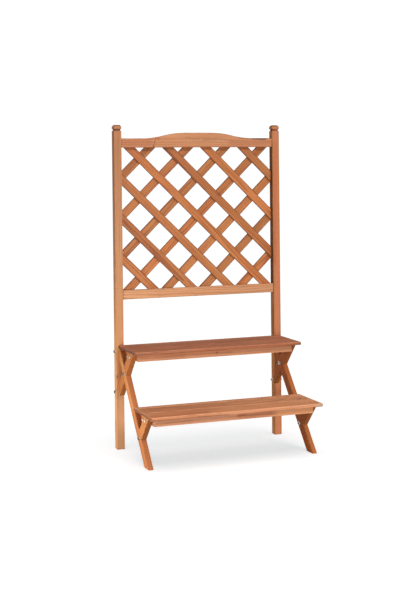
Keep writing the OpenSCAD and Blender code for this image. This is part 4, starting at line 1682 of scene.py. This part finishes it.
def board_screw_spots(shelf):
    """Where the screws of a shelf go up, in X and Y: through both cleats, then the apron."""
    cleat_low, cleat_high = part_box(f"{shelf}_cleat_right")
    apron_low, apron_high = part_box(f"{shelf}_apron")
    back_low, back_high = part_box(f"{shelf}_board_back")
    middle_low, middle_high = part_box(f"{shelf}_board_middle")
    rows = [back_high.y - BACK_SCREW * (back_high.y - back_low.y)]
    rows += [middle_high.y - share * (middle_high.y - middle_low.y) for share in MIDDLE_SCREWS]
    cleat_x = (cleat_low.x + cleat_high.x) / 2
    apron_y = (apron_low.y + apron_high.y) / 2
    spots = [(side * cleat_x, y) for side in (-1, 1) for y in rows]
    return spots + [(share * cleat_low.x, apron_y) for share in APRON_SCREWS]


screws = bmesh.new()
for shelf in SHELVES:
    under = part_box(f"{shelf}_cleat_right")[0].z
    for number, (x, y) in enumerate(board_screw_spots(shelf)):
        down = Matrix.Rotation(math.pi / 2, 4, "Y") @ Matrix.Rotation(SCREW_TURN * number, 4, "X")
        stamp(screws, SCREW, Matrix.Translation((x, y, under)) @ down)
finish_piece(screws, "countersunk_board_screws", SCREW_ZINC, ["board_screws"])

side_screws = bmesh.new()
for shelf in SHELVES:
    cleat_low, cleat_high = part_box(f"{shelf}_cleat_right")
    z = (cleat_low.z + cleat_high.z) / 2
    y = (leg_front(z) + min(POST_FACE, leg_front(z) + LEG_RUN)) / 2
    for side in (-1, 1):
        stamp(side_screws, SCREW, facing(side * cleat_low.x, y, z, -side, SIDE_SPIN))
finish_piece(side_screws, "countersunk_cleat_screws", SCREW_ZINC, ["cleat_screws"])
print("screws under each shelf", len(board_screw_spots("upper")))

# %% Drive the nails
rail_low, rail_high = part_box("bottom_rail")
RAIL_NAIL = (rail_high.z - rail_low.z) / 3
RAIL_NAIL_COLUMNS = (-2, 0, 2)
LATTICE_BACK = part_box("lattice_rear_4")[1].y
spots = [
    (column * HALF_X, GRID_HIGH - row * HALF_Z)
    for row in range(1, 2 * DIAMONDS_DOWN)
    for column in range(1 - DIAMONDS_ACROSS, DIAMONDS_ACROSS)
    if (row + column) % 2 == 0
]
spots += [
    (column * HALF_X, z)
    for column in RAIL_NAIL_COLUMNS
    for z in (GRID_HIGH - RAIL_NAIL, GRID_LOW + RAIL_NAIL)
]
nails = bmesh.new()
backwards = Matrix.Rotation(math.pi / 2, 4, "Z")
for x, z in spots:
    stamp(nails, NAIL, Matrix.Translation((x, LATTICE_BACK, z)) @ backwards)
finish_piece(nails, "round_nail_heads", NAIL_ZINC, ["lattice_nails"])
print(len(spots), "nails")

# %% [markdown]
# ## The last measure
# The box of the finished stand is measured at the end. Finer pieces must not make the stand
# bigger than the box of the CAD model, but for the domed nail heads behind.

# %% Finish
low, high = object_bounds()
